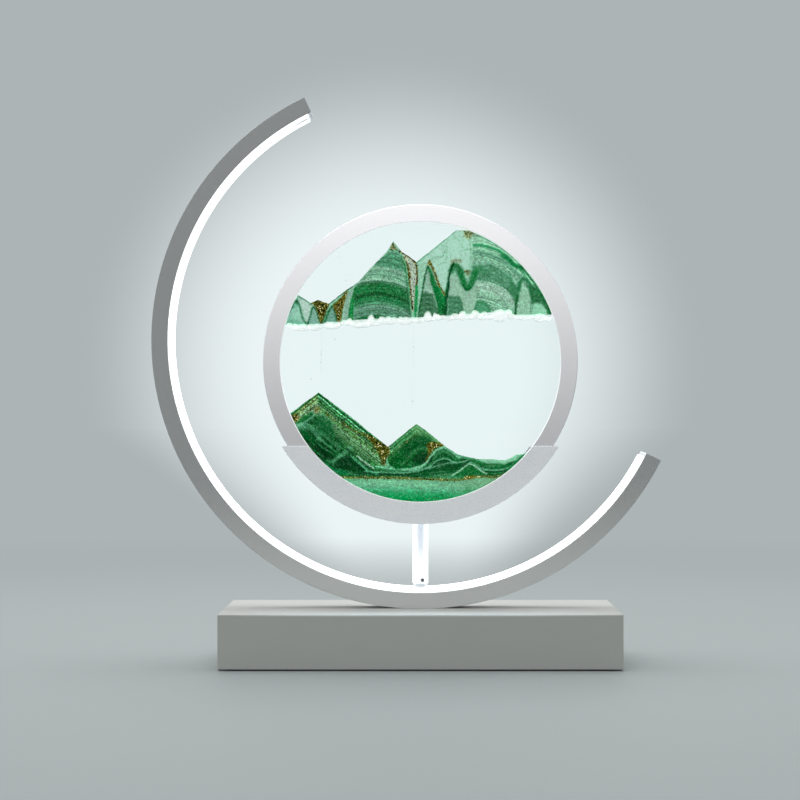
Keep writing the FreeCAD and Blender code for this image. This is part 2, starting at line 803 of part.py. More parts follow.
def ring_screw_points(y):
    """Places on the ring at a depth y, evenly spaced, starting half a step from +X."""
    step = 2 * math.pi / ring_screw_count
    angles = [(index + 0.5) * step for index in range(ring_screw_count)]
    return [Vector(ring_screw_radius * math.cos(angle), y,
                   picture_centre_z + ring_screw_radius * math.sin(angle)) for angle in angles]


def ring_front():
    """The front frame ring: a lip over the glass and the wall round the cell."""
    half = ring_thickness / 2
    edge = ring_edge_chamfer
    outline = [
        (ring_inner_radius, -half + edge), (ring_inner_radius + edge, -half),
        (ring_radius - edge, -half), (ring_radius, -half + edge),
        (ring_radius, glass_outer_y), (ring_bore_radius, glass_outer_y),
        (ring_bore_radius, -glass_outer_y), (ring_inner_radius, -glass_outer_y),
    ]
    section = polygon_face([Vector(r, y, 0) for r, y in outline])
    ring = swept(section, 0, 360, picture_centre_z)
    pilot_depth = ring_screw_length + hole_end_gap
    pilots = [rod(m2_shank + thread_gap, Vector(place.x, half - pilot_depth, place.z), place)
              for place in ring_screw_points(glass_outer_y)]
    return ring.cut(pilots)


def ring_back():
    """The back frame ring, screwed to the front one."""
    half = ring_thickness / 2
    edge = ring_edge_chamfer
    outline = [
        (ring_back_inner_radius, glass_outer_y), (ring_radius, glass_outer_y),
        (ring_radius, half - edge), (ring_radius - edge, half),
        (ring_back_inner_radius + edge, half), (ring_back_inner_radius, half - edge),
    ]
    section = polygon_face([Vector(r, y, 0) for r, y in outline])
    ring = swept(section, 0, 360, picture_centre_z)
    holes = [countersunk_hole(place, Vector(0, -1, 0), m2_shank, m2_head, m2_head_height,
                              half - glass_outer_y, thread_gap)
             for place in ring_screw_points(half)]
    return ring.cut(holes)


def ring_screws():
    """Small countersunk screws from the back."""
    return [countersunk_screw(place, Vector(0, -1, 0), m2_shank, m2_head, m2_head_height,
                              ring_screw_length)
            for place in ring_screw_points(ring_thickness / 2)]


def glass_pane(y0):
    """A round pane whose front face is at y0."""
    return rod(cell_radius, Vector(0, y0, picture_centre_z),
               Vector(0, y0 + glass_thickness, picture_centre_z))


def fill_plug_shaft(radius):
    """A rod through the gasket's top."""
    return rod(radius, Vector(0, 0, picture_centre_z + cavity_radius - gasket_width),
               Vector(0, 0, picture_centre_z + cell_radius))


def cell_gasket():
    """The sealing ring between the panes."""
    ring = hoop(cavity_radius, cell_radius, -cavity_half, cavity_half)
    return ring.cut(fill_plug_shaft(fill_plug_radius + thread_gap))


def fill_plug():
    """The plug through which the cell was filled, flush with the gasket."""
    return hoop(cavity_radius, cell_radius, -cavity_half, cavity_half).common(
        fill_plug_shaft(fill_plug_radius))


def cavity():
    """The round space between the panes."""
    return rod(cavity_radius, Vector(0, -cavity_half, picture_centre_z),
               Vector(0, cavity_half, picture_centre_z))


def sand_body(outline):
    """Sand between the panes, trimmed by the cell's round wall."""
    scale = cavity_radius / sand_drawn_radius
    points = [Vector(x * scale, -cavity_half, picture_centre_z + z * scale) for x, z in outline]
    return polygon_face(points).extrude(Vector(0, cavity_depth, 0)).common(cavity())


def sand_upper():
    """The sand held up by the row of air bubbles."""
    return sand_body(upper_sand_top + upper_sand_underside)


def sand_lower():
    """The sand that has run down."""
    return sand_body(lower_sand_top + lower_sand_underside)


def liquid():
    """The clear liquid, which fills the rest of the cell."""
    return cavity().cut([sand_upper(), sand_lower()])


# ---------------------------------------------------------------- output

NODES = {
    "base_shell": base_shell(),
    "base_cover": base_cover(),
    "cover_screws": cover_screws(),
    "antislip_pad": antislip_pad(),
    "ballast_plates": ballast_plates(),
    "driver_board": driver_board(),
    "board_screws": board_screws(),
    "driver_chip": driver_chip(),
    "filter_capacitor": filter_capacitor(),
    "inductor": inductor(),
    "lead_connector": lead_connector(),
    "power_inlet": power_inlet(),
    "inlet_tongue": inlet_tongue(),
    "switch_body": switch_body(),
    "switch_plunger": switch_plunger(),
    "button_cap": button_cap(),
    "arc_channel": arc_channel(),
    "arc_diffuser": arc_diffuser(),
    "end_plug_upper": end_plug(bar_start_deg),
    "end_plug_lower": end_plug(bar_end_deg - plug_deg),
    "led_strip_long": led_strip(long_strip_span),
    "led_strip_short": led_strip(short_strip_span),
    "led_chips": led_chips(),
    "clamp_plate": clamp_plate(),
    "bar_screws": bar_screws(),
    "arc_lead": arc_lead(),
    "strip_jumper": strip_jumper(),
    "post_bolt": post_bolt(),
    "post_foot": post_foot(),
    "post": post(),
    "post_grub_screw": post_grub_screw(),
    "cradle_screw": cradle_screw(),
    "cradle": cradle(),
    "cradle_liner": cradle_liner(),
    "ring_front": ring_front(),
    "ring_back": ring_back(),
    "ring_screws": ring_screws(),
    "glass_front": glass_pane(-glass_outer_y),
    "glass_back": glass_pane(cavity_half),
    "cell_gasket": cell_gasket(),
    "fill_plug": fill_plug(),
    "sand_upper": sand_upper(),
    "sand_lower": sand_lower(),
    "liquid": liquid(),
}

os.makedirs("parts", exist_ok=True)
for name, made in NODES.items():
    shape = Part.makeCompound(made) if isinstance(made, list) else made
    if len(shape.Solids) == 1:
        shape = shape.Solids[0]
    closed = all(solid.isValid() and solid.isClosed() for solid in shape.Solids)
    print(f"{name}: {len(shape.Solids)} solids, {shape.Volume:.1f} mm3, closed {closed}")
    shape.exportStep(f"parts/{name}.step")
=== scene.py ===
import json
import math

import bmesh
import bpy
import numpy as np
from mathutils import Matrix, Vector


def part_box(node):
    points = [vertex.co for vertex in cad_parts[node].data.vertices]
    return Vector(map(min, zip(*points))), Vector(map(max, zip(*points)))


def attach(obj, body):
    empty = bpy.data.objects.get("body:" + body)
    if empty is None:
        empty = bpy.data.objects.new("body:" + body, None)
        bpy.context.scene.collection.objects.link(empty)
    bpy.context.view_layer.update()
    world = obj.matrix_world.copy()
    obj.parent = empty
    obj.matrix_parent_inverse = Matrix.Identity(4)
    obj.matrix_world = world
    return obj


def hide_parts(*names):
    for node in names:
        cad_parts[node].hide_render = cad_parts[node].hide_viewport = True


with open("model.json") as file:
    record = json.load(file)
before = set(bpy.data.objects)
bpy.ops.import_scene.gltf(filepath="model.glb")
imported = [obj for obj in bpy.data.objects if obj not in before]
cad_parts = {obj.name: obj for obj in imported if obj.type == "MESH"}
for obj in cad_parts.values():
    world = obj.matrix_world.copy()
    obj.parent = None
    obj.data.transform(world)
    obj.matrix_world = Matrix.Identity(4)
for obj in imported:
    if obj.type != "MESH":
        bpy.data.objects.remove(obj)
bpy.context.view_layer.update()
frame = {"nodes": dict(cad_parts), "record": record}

# A moving-sand lamp. Lengths are in metres. Only in the sand picture do points lie across and up
# from its centre in millimetres, and outlines list them as across,up pairs in tenths of one.

nodes = frame["nodes"]


def linear(rgb):
    """sRGB levels from 0 to 255 as the shader's linear numbers."""
    share = np.maximum(rgb, 0) / 255
    return np.where(share <= 0.04045, share / 12.92, ((share + 0.055) / 1.055) ** 2.4)


def levels(colour):
    """The red, green and blue of a colour written as 0xRRGGBB."""
    return np.array([colour >> 16, colour >> 8 & 255, colour & 255], float)


def shader_value(value):
    """A colour written as 0xRRGGBB as the shader's numbers; anything else as it is."""
    return (*linear(levels(value)).tolist(), 1.0) if isinstance(value, int) else value


# ---- where things are

glass_low, glass_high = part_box("glass_front")
PICTURE = (glass_low + glass_high) / 2
liquid_low, liquid_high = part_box("liquid")
CAVITY_RADIUS = (liquid_high.x - liquid_low.x) / 2
CAVITY_HALF = (liquid_high.y - liquid_low.y) / 2
reaches = [math.hypot(corner.co.x - PICTURE.x, corner.co.z - PICTURE.z)
           for corner in nodes["ring_front"].data.vertices]
RING_INNER, RING_OUTER = min(reaches), max(reaches)
channel_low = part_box("arc_channel")[0]
ARC_RADIUS = -channel_low.x
ARC_Z = channel_low.z + ARC_RADIUS
ARC_MOUTH = ARC_RADIUS - 0.0082  # the channel's open side
ARC_START_DEG = 115.6  # where the diffuser's upper end is
POST_FOOT, POST_TOP = (corner.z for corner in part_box("post"))
housing_low, housing_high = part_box("base_shell")
HOUSING_TOP, HOUSING_FRONT = housing_high.z, housing_low.y


# ---- colours and light

WHITE = (1.0, 1.0, 1.0, 1.0)
COOL = (0.95, 0.98, 1.0, 1.0)  # the colour of the LEDs' light
GLOW = 0xecf5f6  # the backdrop behind the lamp
BACKDROP = 0xadb4b6
FLOOR = 0x959c9c
GLOW_DIRECTION = (-0.013, 0.9995, 0.029)
GLOW_EDGE = (0.055, 0.145)  # how far from that direction the glow begins and ends to fade
FLOOR_RADIUS = 60.0
FLOOR_FADE = (0.3, 1.3)  # where the floor turns into the backdrop
WORLD_COLOUR, WORLD_STRENGTH = (0.96, 0.99, 1.0, 1.0), 0.42
SHINE_COLOUR, SHINE_STRENGTH = (0.97, 0.99, 1.0, 1.0), 1.15
SHINE_RISE = (-0.041, 0.106)  # the heights between which reflections brighten
WASH_WIDTH, WASH_DEPTH = (0.1, 0.03), (-0.024, -0.036)  # where the bar's light on the base fades
SHADOW_IN, SHADOW_DEG = 0.0019, 10.4  # the strip end's shadow: how far in, and how far round
DIFFUSER_LIGHT = 1.7
# the sand glows with painted light, standing in for the lamp's light on it
SAND_PAINTED_GLOW = 0.36
# the bubbles glow with painted light, standing in for the lamp's light on them
BUBBLE_PAINTED_GLOW = 0.5


def finished_mesh(name, build):
    mesh = bpy.data.meshes.new(name)
    build.to_mesh(mesh)
    build.free()
    return mesh


def link_object(name, data):
    made = bpy.data.objects.new(name, data)
    bpy.context.scene.collection.objects.link(made)
    return made


def make_camera():
    lens = bpy.data.cameras.new("camera")
    lens.lens, lens.sensor_width = 97.3, 36.0
    lens.shift_x, lens.shift_y = -0.025, 0.03125
    camera = link_object("camera", lens)
    camera.location = (-0.0002, -1.109, 0.1211)
    camera.rotation_euler = (math.radians(90), 0, 0)
    bpy.context.scene.camera = camera
    bpy.context.scene.view_settings.view_transform = "Standard"


def softbox(name, location, target, size, power):
    light = bpy.data.lights.new(name, "AREA")
    light.shape = "RECTANGLE"
    light.size, light.size_y = size
    light.energy = power
    lamp = link_object(name, light)
    lamp.location = location
    lamp.rotation_euler = (Vector(target) - Vector(location)).to_track_quat("-Z", "Y").to_euler()


class Look:
    """A material or world under construction. Inputs take numbers, nodes' outputs and colours,
    which are 0xRRGGBB or the shader's numbers."""

    def __init__(self, name, world=None):
        self.name = name
        self.owner = world or bpy.data.materials.new(name)
        self.owner.use_nodes = True
        self.tree = self.owner.node_tree
        self.surface = self.tree.nodes.get("Principled BSDF")

    def fill(self, node, inputs):
        for socket, value in inputs.items():
            if isinstance(value, bpy.types.NodeSocket):
                self.tree.links.new(value, node.inputs[socket])
            else:
                node.inputs[socket].default_value = shader_value(value)

    def add(self, kind, inputs=None, **settings):
        node = self.tree.nodes.new("ShaderNode" + kind)
        for name, value in settings.items():
            setattr(node, name, value)
        self.fill(node, inputs or {})
        return node

    def paint(self, inputs):
        """Sets inputs of the surface."""
        self.fill(self.surface, inputs)

    def show(self, shader):
        """Makes shader all that the material or world is."""
        kind = "Material Output" if self.surface else "World Output"
        self.fill(self.tree.nodes[kind], {"Surface": shader})

    def blend(self, share, first, second):
        """The first shader, and the second by share."""
        return self.add("MixShader", {0: share, 1: first.outputs[0], 2: second.outputs[0]})

    def place(self):
        """The piece's own coordinates."""
        return self.add("TexCoord").outputs["Object"]

    def axis(self, name, vector=None):
        return self.add("SeparateXYZ", {0: vector or self.place()}).outputs[name]

    def math(self, operation, first, *others):
        for other in others or (0.0,):
            first = self.add("Math", {0: first, 1: other}, operation=operation).outputs[0]
        return first

    def times(self, *factors):
        return self.math("MULTIPLY", *factors)

    def plus(self, *terms):
        return self.math("ADD", *terms)

    def minus(self, first, second):
        return self.math("SUBTRACT", first, second)

    def span(self, value, low, high, to_low, to_high, steps="LINEAR"):
        """As far from to_low to to_high as value is from low to high, and no further."""
        return self.add("MapRange", {"Value": value, "From Min": low, "From Max": high,
                                     "To Min": to_low, "To Max": to_high},
                        interpolation_type=steps).outputs["Result"]

    def ease(self, value, low, high, to_low=0.0, to_high=1.0):
        """The same as a smooth step, from 0 to 1 unless told otherwise."""
        return self.span(value, low, high, to_low, to_high, "SMOOTHSTEP")

    def mix(self, share, first, second):
        return self.add("Mix", {0: share, 6: first, 7: second}, data_type="RGBA").outputs[2]

    def noise(self, size, detail, seed):
        """Noise from 0 to 1, with features about size across."""
        moved = self.add("VectorMath", {0: self.place(), 1: (seed, seed * 0.37, seed * 0.61)})
        return self.add("TexNoise", {"Vector": moved.outputs[0], "Scale": 1 / size,
                                     "Detail": detail}).outputs["Fac"]

    def cells(self, size):
        """Random Red, Green and Blue for each cell about size across."""
        cell = self.add("TexVoronoi", {"Vector": self.place(), "Scale": 1 / size})
        return self.add("SeparateColor", {"Color": cell.outputs["Color"]}).outputs

    def relief(self, height, depth, strength=1.0):
        return self.add("Bump", {"Height": height, "Distance": depth,
                                 "Strength": strength}).outputs["Normal"]

    def from_axis(self, centre_z):
        """How far a point lies across and up from the Y axis at height centre_z."""
        return self.axis("X"), self.minus(self.axis("Z"), centre_z)

    def reach(self, centre_z):
        """The distance from the Y axis at height centre_z."""
        across, up = self.from_axis(centre_z)
        return self.math("SQRT", self.plus(self.times(across, across), self.times(up, up)))

    def turn(self, centre_z):
        """The angle round the Y axis at height centre_z, in degrees."""
        across, up = self.from_axis(centre_z)
        return self.times(self.math("ARCTAN2", up, across), 180 / math.pi)

    def backdrop(self, direction):
        """The backdrop by direction: pale, and lighter behind the lamp, as if lit by it."""
        away = self.add("VectorMath", {0: direction, 1: GLOW_DIRECTION}, operation="DISTANCE")
        return self.mix(self.ease(away.outputs["Value"], *GLOW_EDGE), GLOW, BACKDROP)


def make_floor():
    """A pale sweep: a plain floor that turns into the backdrop's colour far from the lamp."""
    build = bmesh.new()
    bmesh.ops.create_circle(build, cap_ends=True, radius=FLOOR_RADIUS, segments=96)
    mesh = finished_mesh("floor", build)
    floor = link_object("floor", mesh)
    look = Look("floor")
    look.paint({"Base Color": FLOOR, "Roughness": 0.6, "Specular IOR Level": 0.2})
    far = look.add("VectorMath", {0: look.place()}, operation="LENGTH").outputs["Value"]
    direction = look.add("VectorMath", {0: look.place()}, operation="NORMALIZE").outputs[0]
    seen = look.add("LightPath").outputs["Is Camera Ray"]
    sweep = look.add("Emission", {"Color": look.backdrop(direction),
                                  "Strength": look.span(seen, 0.0, 1.0, 0.5, 1.0)})
    look.show(look.blend(look.ease(far, *FLOOR_FADE), look.surface, sweep).outputs[0])
    mesh.materials.append(look.owner)


def make_world():
    """Even soft light. The camera and glass see the backdrop, and gloss a sky that brightens
    upwards."""
    world = bpy.data.worlds.new("studio")
    bpy.context.scene.world = world
    look = Look("studio", world)
    even = look.tree.nodes["Background"]
    look.fill(even, {"Color": WORLD_COLOUR, "Strength": WORLD_STRENGTH})
    direction = look.add("TexCoord").outputs["Generated"]
    seen = look.add("Background", {"Color": look.backdrop(direction), "Strength": 1.0})
    path = look.add("LightPath").outputs
    through = look.math("MAXIMUM", path["Is Camera Ray"], path["Is Transmission Ray"])
    rise = look.span(look.axis("Z", direction), *SHINE_RISE, 0.0, SHINE_STRENGTH)
    shine = look.add("Background", {"Color": SHINE_COLOUR, "Strength": rise})
    lit = look.blend(path["Is Glossy Ray"], even, shine)
    look.show(look.blend(through, lit, seen).outputs[0])


make_camera()
make_floor()
make_world()
softbox("overhead", (-0.06, 0.25, 1.25), (0, 0, 0.1), (1.4, 1.0), 15.0)
softbox("front_fill", (-0.5, -1.9, 1.1), (0, 0, 0.15), (1.6, 0.9), 7.7)


# ---- finishes of the CAD nodes

def shaded(colour, share):
    return tuple(min(1.0, c * share) for c in shader_value(colour)[:3]) + (1.0,)


def finish_of(name, colour, roughness, grain=0.0004, relief=0.00001, variation=0.04, patch=0.03,
              metallic=0.0, gloss_change=0.05, seed=1.0):
    """A painted, moulded or metal surface: soft changes of colour, fine relief, uneven gloss."""
    look = Look(name)
    look.tint = look.mix(look.noise(patch, 3.0, seed), shaded(colour, 1 - variation),
                         shaded(colour, 1 + variation))
    look.gloss = look.span(look.noise(grain * 6, 2.0, seed + 7), 0.0, 1.0,
                           roughness - gloss_change, roughness + gloss_change)
    look.paint({"Base Color": look.tint, "Roughness": look.gloss, "Metallic": metallic,
                "Normal": look.relief(look.noise(grain, 2.0, seed + 3), relief)})
    return look


def speckled(name, colour, fleck, share, roughness, cell, relief=0.00002, glow=0.0):
    """A surface with small flecks of another colour, such as textured paint, felt or foam."""
    look = Look(name)
    lottery = look.cells(cell)["Red"]
    chosen = look.ease(lottery, 1 - share - 0.08, 1 - share + 0.08)
    ground = look.mix(look.noise(0.02, 3.0, 2.0), shaded(colour, 0.97), shaded(colour, 1.03))
    height = look.plus(look.noise(cell * 1.6, 2.0, 4.0), lottery)
    # glow, where given, is painted light: the surface glows though it is no lamp
    look.paint({"Base Color": look.mix(chosen, ground, fleck), "Roughness": roughness,
                "Normal": look.relief(height, relief), "Emission Color": COOL,
                "Emission Strength": glow})
    return look


def translucent(name, colour, glow, roughness=0.35):
    """A soft, cloudy plastic that passes some of the lamp's light."""
    look = Look(name)
    cloud = look.noise(0.0022, 3.0, 6.0)
    look.paint({"Base Color": look.mix(cloud, shaded(colour, 0.8), shaded(colour, 1.06)),
                "Roughness": roughness, "Emission Color": COOL,
                "Emission Strength": look.span(cloud, 0.0, 1.0, glow * 0.6, glow * 1.3)})
    return look


def see_through(name, tint, gloss):
    """Clear glass or liquid: what is behind shows, with a weak reflection at the surface."""
    look = Look(name)
    colour = look.mix(look.noise(0.05, 2.0, 8.0), tint, shaded(tint, 1.004))
    clear = look.add("BsdfTransparent", {"Color": colour})
    shine = look.add("BsdfGlossy", {"Color": WHITE, "Roughness": 0.03})
    fresnel = look.add("Fresnel", {"IOR": 1.45}).outputs[0]
    share = look.ease(fresnel, 0.033, 1.0, 0.0, gloss)
    look.show(look.blend(share, clear, shine).outputs[0])
    look.tree.nodes.remove(look.surface)
    return look


def lit_diffuser():
    """Milky plastic lit from inside, dimmer at its edges, with the strip end's faint shadow."""
    look = Look("milky_diffuser")
    reach, turn = look.reach(ARC_Z), look.turn(ARC_Z)
    edge = look.ease(reach, ARC_MOUTH - 0.0006, ARC_MOUTH + 0.0001, 1.0, 0.3)
    off_line = look.math("ABSOLUTE", look.minus(reach, ARC_MOUTH - SHADOW_IN))
    on_line = look.minus(1.0, look.ease(off_line, 0.0002, 0.00055))
    along = look.times(look.ease(turn, ARC_START_DEG, ARC_START_DEG + 1.6),
                       look.ease(turn, ARC_START_DEG + SHADOW_DEG, ARC_START_DEG + 2.4))
    kept = look.minus(1.0, look.times(on_line, along, 0.88))
    look.paint({"Base Color": look.mix(look.noise(0.01, 2.0, 4.0), 0xeef2f3, 0xf6f8f8),
                "Roughness": 0.35, "Emission Color": (0.97, 0.995, 1.0, 1.0),
                "Emission Strength": look.times(edge, kept, DIFFUSER_LIGHT)})
    return look


def lit_post():
    """Glowing acrylic, a little bluer in the middle of its upper half, where the screw's tip is."""
    look = Look("lit_post")
    middle = look.ease(look.math("ABSOLUTE", look.axis("X")), 0.0034, 0.0002)
    span = POST_TOP - POST_FOOT
    upper = look.ease(look.axis("Z"), POST_FOOT + 0.2 * span, POST_FOOT + 0.8 * span)
    blue = look.times(middle, upper)
    look.paint({"Base Color": look.mix(look.noise(0.004, 2.0, 5.0), 0xf0f4f6, 0xfafcfc),
                "Roughness": 0.2,
                "Emission Color": look.mix(blue, (0.97, 1.0, 1.0, 1.0), (0.5, 0.62, 0.8, 1.0)),
                "Emission Strength": look.span(blue, 0.0, 1.0, 0.72, 0.31)})
    return look


def housing_finish():
    """White paint, with the bar's light painted on the front half of its top and its front edge."""
    look = finish_of("white_housing", 0xb0b2ae, 0.5, **PAINT)
    top = look.ease(look.axis("Z"), HOUSING_TOP - 0.0012, HOUSING_TOP - 0.0003)
    middle = look.ease(look.math("ABSOLUTE", look.axis("X")), *WASH_WIDTH)
    front = look.ease(look.axis("Y"), *WASH_DEPTH)
    # a painted highlight along the front top edge, as if that edge caught the light
    highlit_lip = look.ease(look.axis("Y"), HOUSING_FRONT + 0.0022, HOUSING_FRONT + 0.0008)
    # the light that the bar throws down, painted on the front half of the top
    washed = look.mix(look.times(top, front, middle), look.tint, 0xc8cdcc)
    look.paint({"Base Color": look.mix(look.times(top, highlit_lip, middle), washed, 0xd4dbdc)})
    return look


def bar_finish():
    """Satin anodised aluminium, paler low down, where the base throws light on it."""
    look = finish_of("bar_aluminium", 0xa9abaa, 0.46, **PAINT)
    low = look.ease(look.axis("Z"), 0.105, 0.03, 0.0, 0.68)
    look.paint({"Base Color": look.mix(low, look.tint, 0xe2e4e2)})
    return look


def ring_finish():
    """Silvery plastic, glossy on its faces, plainer round its edge, and washed by the picture's
    light on its inner wall."""
    look = finish_of("ring_plastic", 0xfaf8f9, 0.19, relief=0.0000001, variation=0.008,
                     gloss_change=0.005, seed=27.0)
    reach = look.reach(PICTURE.z)
    wall = look.ease(reach, RING_INNER + 0.0004, RING_INNER + 0.0001)
    rim = look.ease(reach, RING_OUTER - 0.0003, RING_OUTER - 0.0001)
    plain = look.plus(wall, look.times(rim, 0.9))
    look.paint({"Base Color": look.mix(rim, look.tint, 0xced0d2),
                "Roughness": look.plus(look.gloss, look.times(rim, 0.2)),
                "Metallic": look.times(look.minus(1.0, plain), 0.95),
                "Emission Color": GLOW, "Emission Strength": look.times(wall, 0.45)})
    return look


PAINT = dict(grain=0.00025, relief=0.000012, variation=0.02)
FINISHES = {look.name: look.owner for look in [
    housing_finish(), bar_finish(), ring_finish(), lit_diffuser(), lit_post(),
    finish_of("cover_steel", 0x969898, 0.55, variation=0.05, seed=9.0),
    finish_of("plain_steel", 0x96989c, 0.35, metallic=1.0, grain=0.0003, variation=0.08,
              seed=12.0),
    finish_of("black_plastic", 0x1c1d1e, 0.45, variation=0.1, seed=15.0),
    finish_of("white_plastic", 0xc8cac8, 0.4, seed=17.0),
    finish_of("aluminium_can", 0xb0b4b8, 0.3, metallic=1.0, seed=19.0),
    finish_of("lead_jacket", 0xd6d6d2, 0.5, seed=23.0),
    speckled("foam_pad", 0x1e1f1e, 0x343534, 0.3, 0.9, 0.0009, relief=0.0001),
    speckled("circuit_board", 0x164e2c, 0x28683e, 0.2, 0.4, 0.0012),
    speckled("strip_film", 0xe8e9e4, 0xcec496, 0.08, 0.5, 0.002),
    # the cradle's faint glow is painted light, standing in for the lamp's light falling on it
    speckled("cradle_paint", 0xfafbfe, 0xeef1f6, 0.3, 0.45, 0.0004, glow=0.05),
    speckled("felt", 0x787a7c, 0x96989a, 0.4, 0.95, 0.0004, relief=0.00008),
    translucent("soft_plug", 0xd6dee4, 0.22),
    translucent("led_package", 0xf0e082, 2.0),
    translucent("clear_collar", 0xbcc3c7, 0.24, 0.15),
    translucent("gasket_silicone", 0xe8eeee, 0.72),
    see_through("clear_glass", (0.992, 0.998, 0.996, 1.0), 0.25),
    see_through("clear_liquid", (0.985, 0.998, 0.995, 1.0), 0.0),
]}

BROKEN_EDGES = {"arc_channel": 0.0003, "cradle": 0.0004, "ring_front": 0.00012,
                "ring_back": 0.0002, "post": 0.0002, "button_cap": 0.0003, "base_cover": 0.0002}


def soften(node, width):
    """Breaks the sharp edges of a node, as paint and handling do, so that they catch the light."""
    weld = node.modifiers.new("joined", "WELD")
    weld.merge_threshold = 0.000002
    bevel = node.modifiers.new("broken_edges", "BEVEL")
    bevel.width = width
    bevel.segments = 2
    bevel.limit_method = "ANGLE"
    bevel.angle_limit = math.radians(38)
    bevel.harden_normals = True


def dress(record):
    """Gives every CAD node that still shows the finish of its material slot in the record."""
    for part in record["subparts"]:
        made = nodes[part["node"]]
        if made.hide_render:
            continue
        made.data.materials.clear()
        made.data.materials.append(FINISHES[part["material_slot"]])
        for face in made.data.polygons:
            face.material_index = 0
        if part["node"] in BROKEN_EDGES:
            soften(made, BROKEN_EDGES[part["node"]])


# ---- sand picture

LATTICE = np.random.default_rng(7).random((8, 64, 64))


def waves(u, w, size, sheet):
    """Smooth noise from -1 to 1 with features of that size, the same on every run."""
    x, y = u / size + 200, w / size + 200
    x0, y0 = np.floor(x).astype(int), np.floor(y).astype(int)
    fx, fy = x - x0, y - y0
    fx, fy = fx * fx * (3 - 2 * fx), fy * fy * (3 - 2 * fy)

    def at(i, j):
        return LATTICE[sheet][(x0 + i) % 64, (y0 + j) % 64]

    low = at(0, 0) * (1 - fx) + at(1, 0) * fx
    high = at(0, 1) * (1 - fx) + at(1, 1) * fx
    return 2 * (low * (1 - fy) + high * fy) - 1


def soft(value, low, high):
    share = np.clip((value - low) / (high - low), 0, 1)
    return share * share * (3 - 2 * share)


def pairs(outline):
    """The points of an outline, in millimetres."""
    return np.array(outline, float).reshape(-1, 2) / 10


def rounded(outline, steps=8):
    """A smooth line through an outline's points, as a Catmull-Rom spline."""
    p = pairs(outline)
    p = np.vstack([2 * p[0] - p[1], p, 2 * p[-1] - p[-2]])
    t = np.linspace(0, 1, steps, endpoint=False)[:, None]
    runs = [0.5 * (2 * b + (c - a) * t + (2 * a - 5 * b + 4 * c - d) * t**2
                   + (3 * b - a - 3 * c + d) * t**3)
            for a, b, c, d in zip(p, p[1:], p[2:], p[3:])]
    return np.vstack(runs + [p[-2:-1]])


class Picture:
    """The colours of sand at points of the picture, laid one over another."""

    def __init__(self, u, w, ragged):
        scatter = np.random.default_rng(3).normal(0, ragged, (2, len(u)))
        self.u = u + 0.18 * waves(u, w, 3.1, 0) + 0.08 * waves(u, w, 1.2, 1) + scatter[0]
        self.w = w + 0.18 * waves(u, w, 2.7, 2) + 0.08 * waves(u, w, 1.1, 3) + scatter[1]
        self.rgb = np.zeros((len(u), 3))
        self.gold, self.lined, self.depth = np.zeros((3, len(u)))

    def lay(self, mask, colour, gold=0.0):
        mask = np.asarray(mask) * np.ones(len(self.u))
        rgb = levels(colour) if isinstance(colour, int) else colour
        self.rgb += (rgb - self.rgb) * mask[:, None]
        self.gold += (gold - self.gold) * mask
        self.lined *= 1 - 0.75 * mask

    def distance(self, line):
        """From each point to an open line."""
        best = np.full(len(self.u), 1e9)
        for (x0, y0), (x1, y1) in zip(line, line[1:]):
            dx, dy = x1 - x0, y1 - y0
            t = ((self.u - x0) * dx + (self.w - y0) * dy) / (dx * dx + dy * dy + 1e-12)
            t = np.clip(t, 0, 1)
            best = np.minimum(best, np.hypot(self.u - x0 - t * dx, self.w - y0 - t * dy))
        return best

    def inside(self, outline, blur):
        """1 inside a closed outline, 0 outside, soft at its edge."""
        loop = pairs([*outline, *outline[:2]])
        odd = np.zeros(len(self.u), bool)
        for (x0, y0), (x1, y1) in zip(loop, loop[1:]):
            if y0 != y1:
                crossing = (self.w < y0) != (self.w < y1)
                odd ^= crossing & (self.u < x0 + (self.w - y0) * (x1 - x0) / (y1 - y0))
        return soft(np.where(odd, 1, -1) * self.distance(loop), -blur, blur)

    def patch(self, colour, outline, share=1.0, blur=0.35, gold=0.0):
        self.lay(self.inside(outline, blur) * share, colour, gold)

    def stroke(self, width, colour, outline, share=1.0, blur=0.3, gold=0.0):
        away = self.distance(rounded(outline, 4))
        self.lay((1 - soft(away, width / 2 - blur / 2, width / 2 + blur)) * share, colour, gold)

    def draw(self, rows):
        """Strokes and patches, in order. A row is the width, or 0 for a patch, the colour, the
        outline, and then share, blur and gold, where they aren't the usual ones."""
        for width, *row in rows:
            if width:
                self.stroke(width, *row)
            else:
                self.patch(*row)

    def height_over(self, outline):
        line = rounded(outline)
        return self.w - np.interp(self.u, line[:, 0], line[:, 1])

    def depth_under(self, slope):
        """How deep a point lies under a straight slope, square to it."""
        (x0, y0), (x1, y1) = pairs(slope)
        length = math.hypot(x1 - x0, y1 - y0)
        return ((self.u - x0) * (y1 - y0) - (self.w - y0) * (x1 - x0)) / length

    def strata(self, mask, depth, stops, lines=0.35):
        """Layers by depth. A stop is a depth and a colour, and may end with a share of gold."""
        self.depth = np.where(np.asarray(mask) > 0.5, depth, self.depth)
        depths, *columns = np.array([(at, *levels(colour), *gold, 0)[:5]
                                     for at, colour, *gold in stops]).T
        if depths[0] > depths[-1]:
            depth, depths = -depth, -depths
        *rgb, gold = (np.interp(depth, depths, column) for column in columns)
        streaks = (0.1 * waves(0.12 * self.u, depth, 0.7, 6)
                   + 0.08 * waves(0.3 * self.u, depth, 0.4, 7))
        self.lay(mask, np.stack(rgb, 1) * (1 + streaks)[:, None], gold)
        self.lined += (lines - self.lined) * mask


MINT, RICH, DEEP, DARK, GOLD, BROWN = 0x96ceb0, 0x08763e, 0x065c32, 0x044224, 0x84701e, 0x42360a


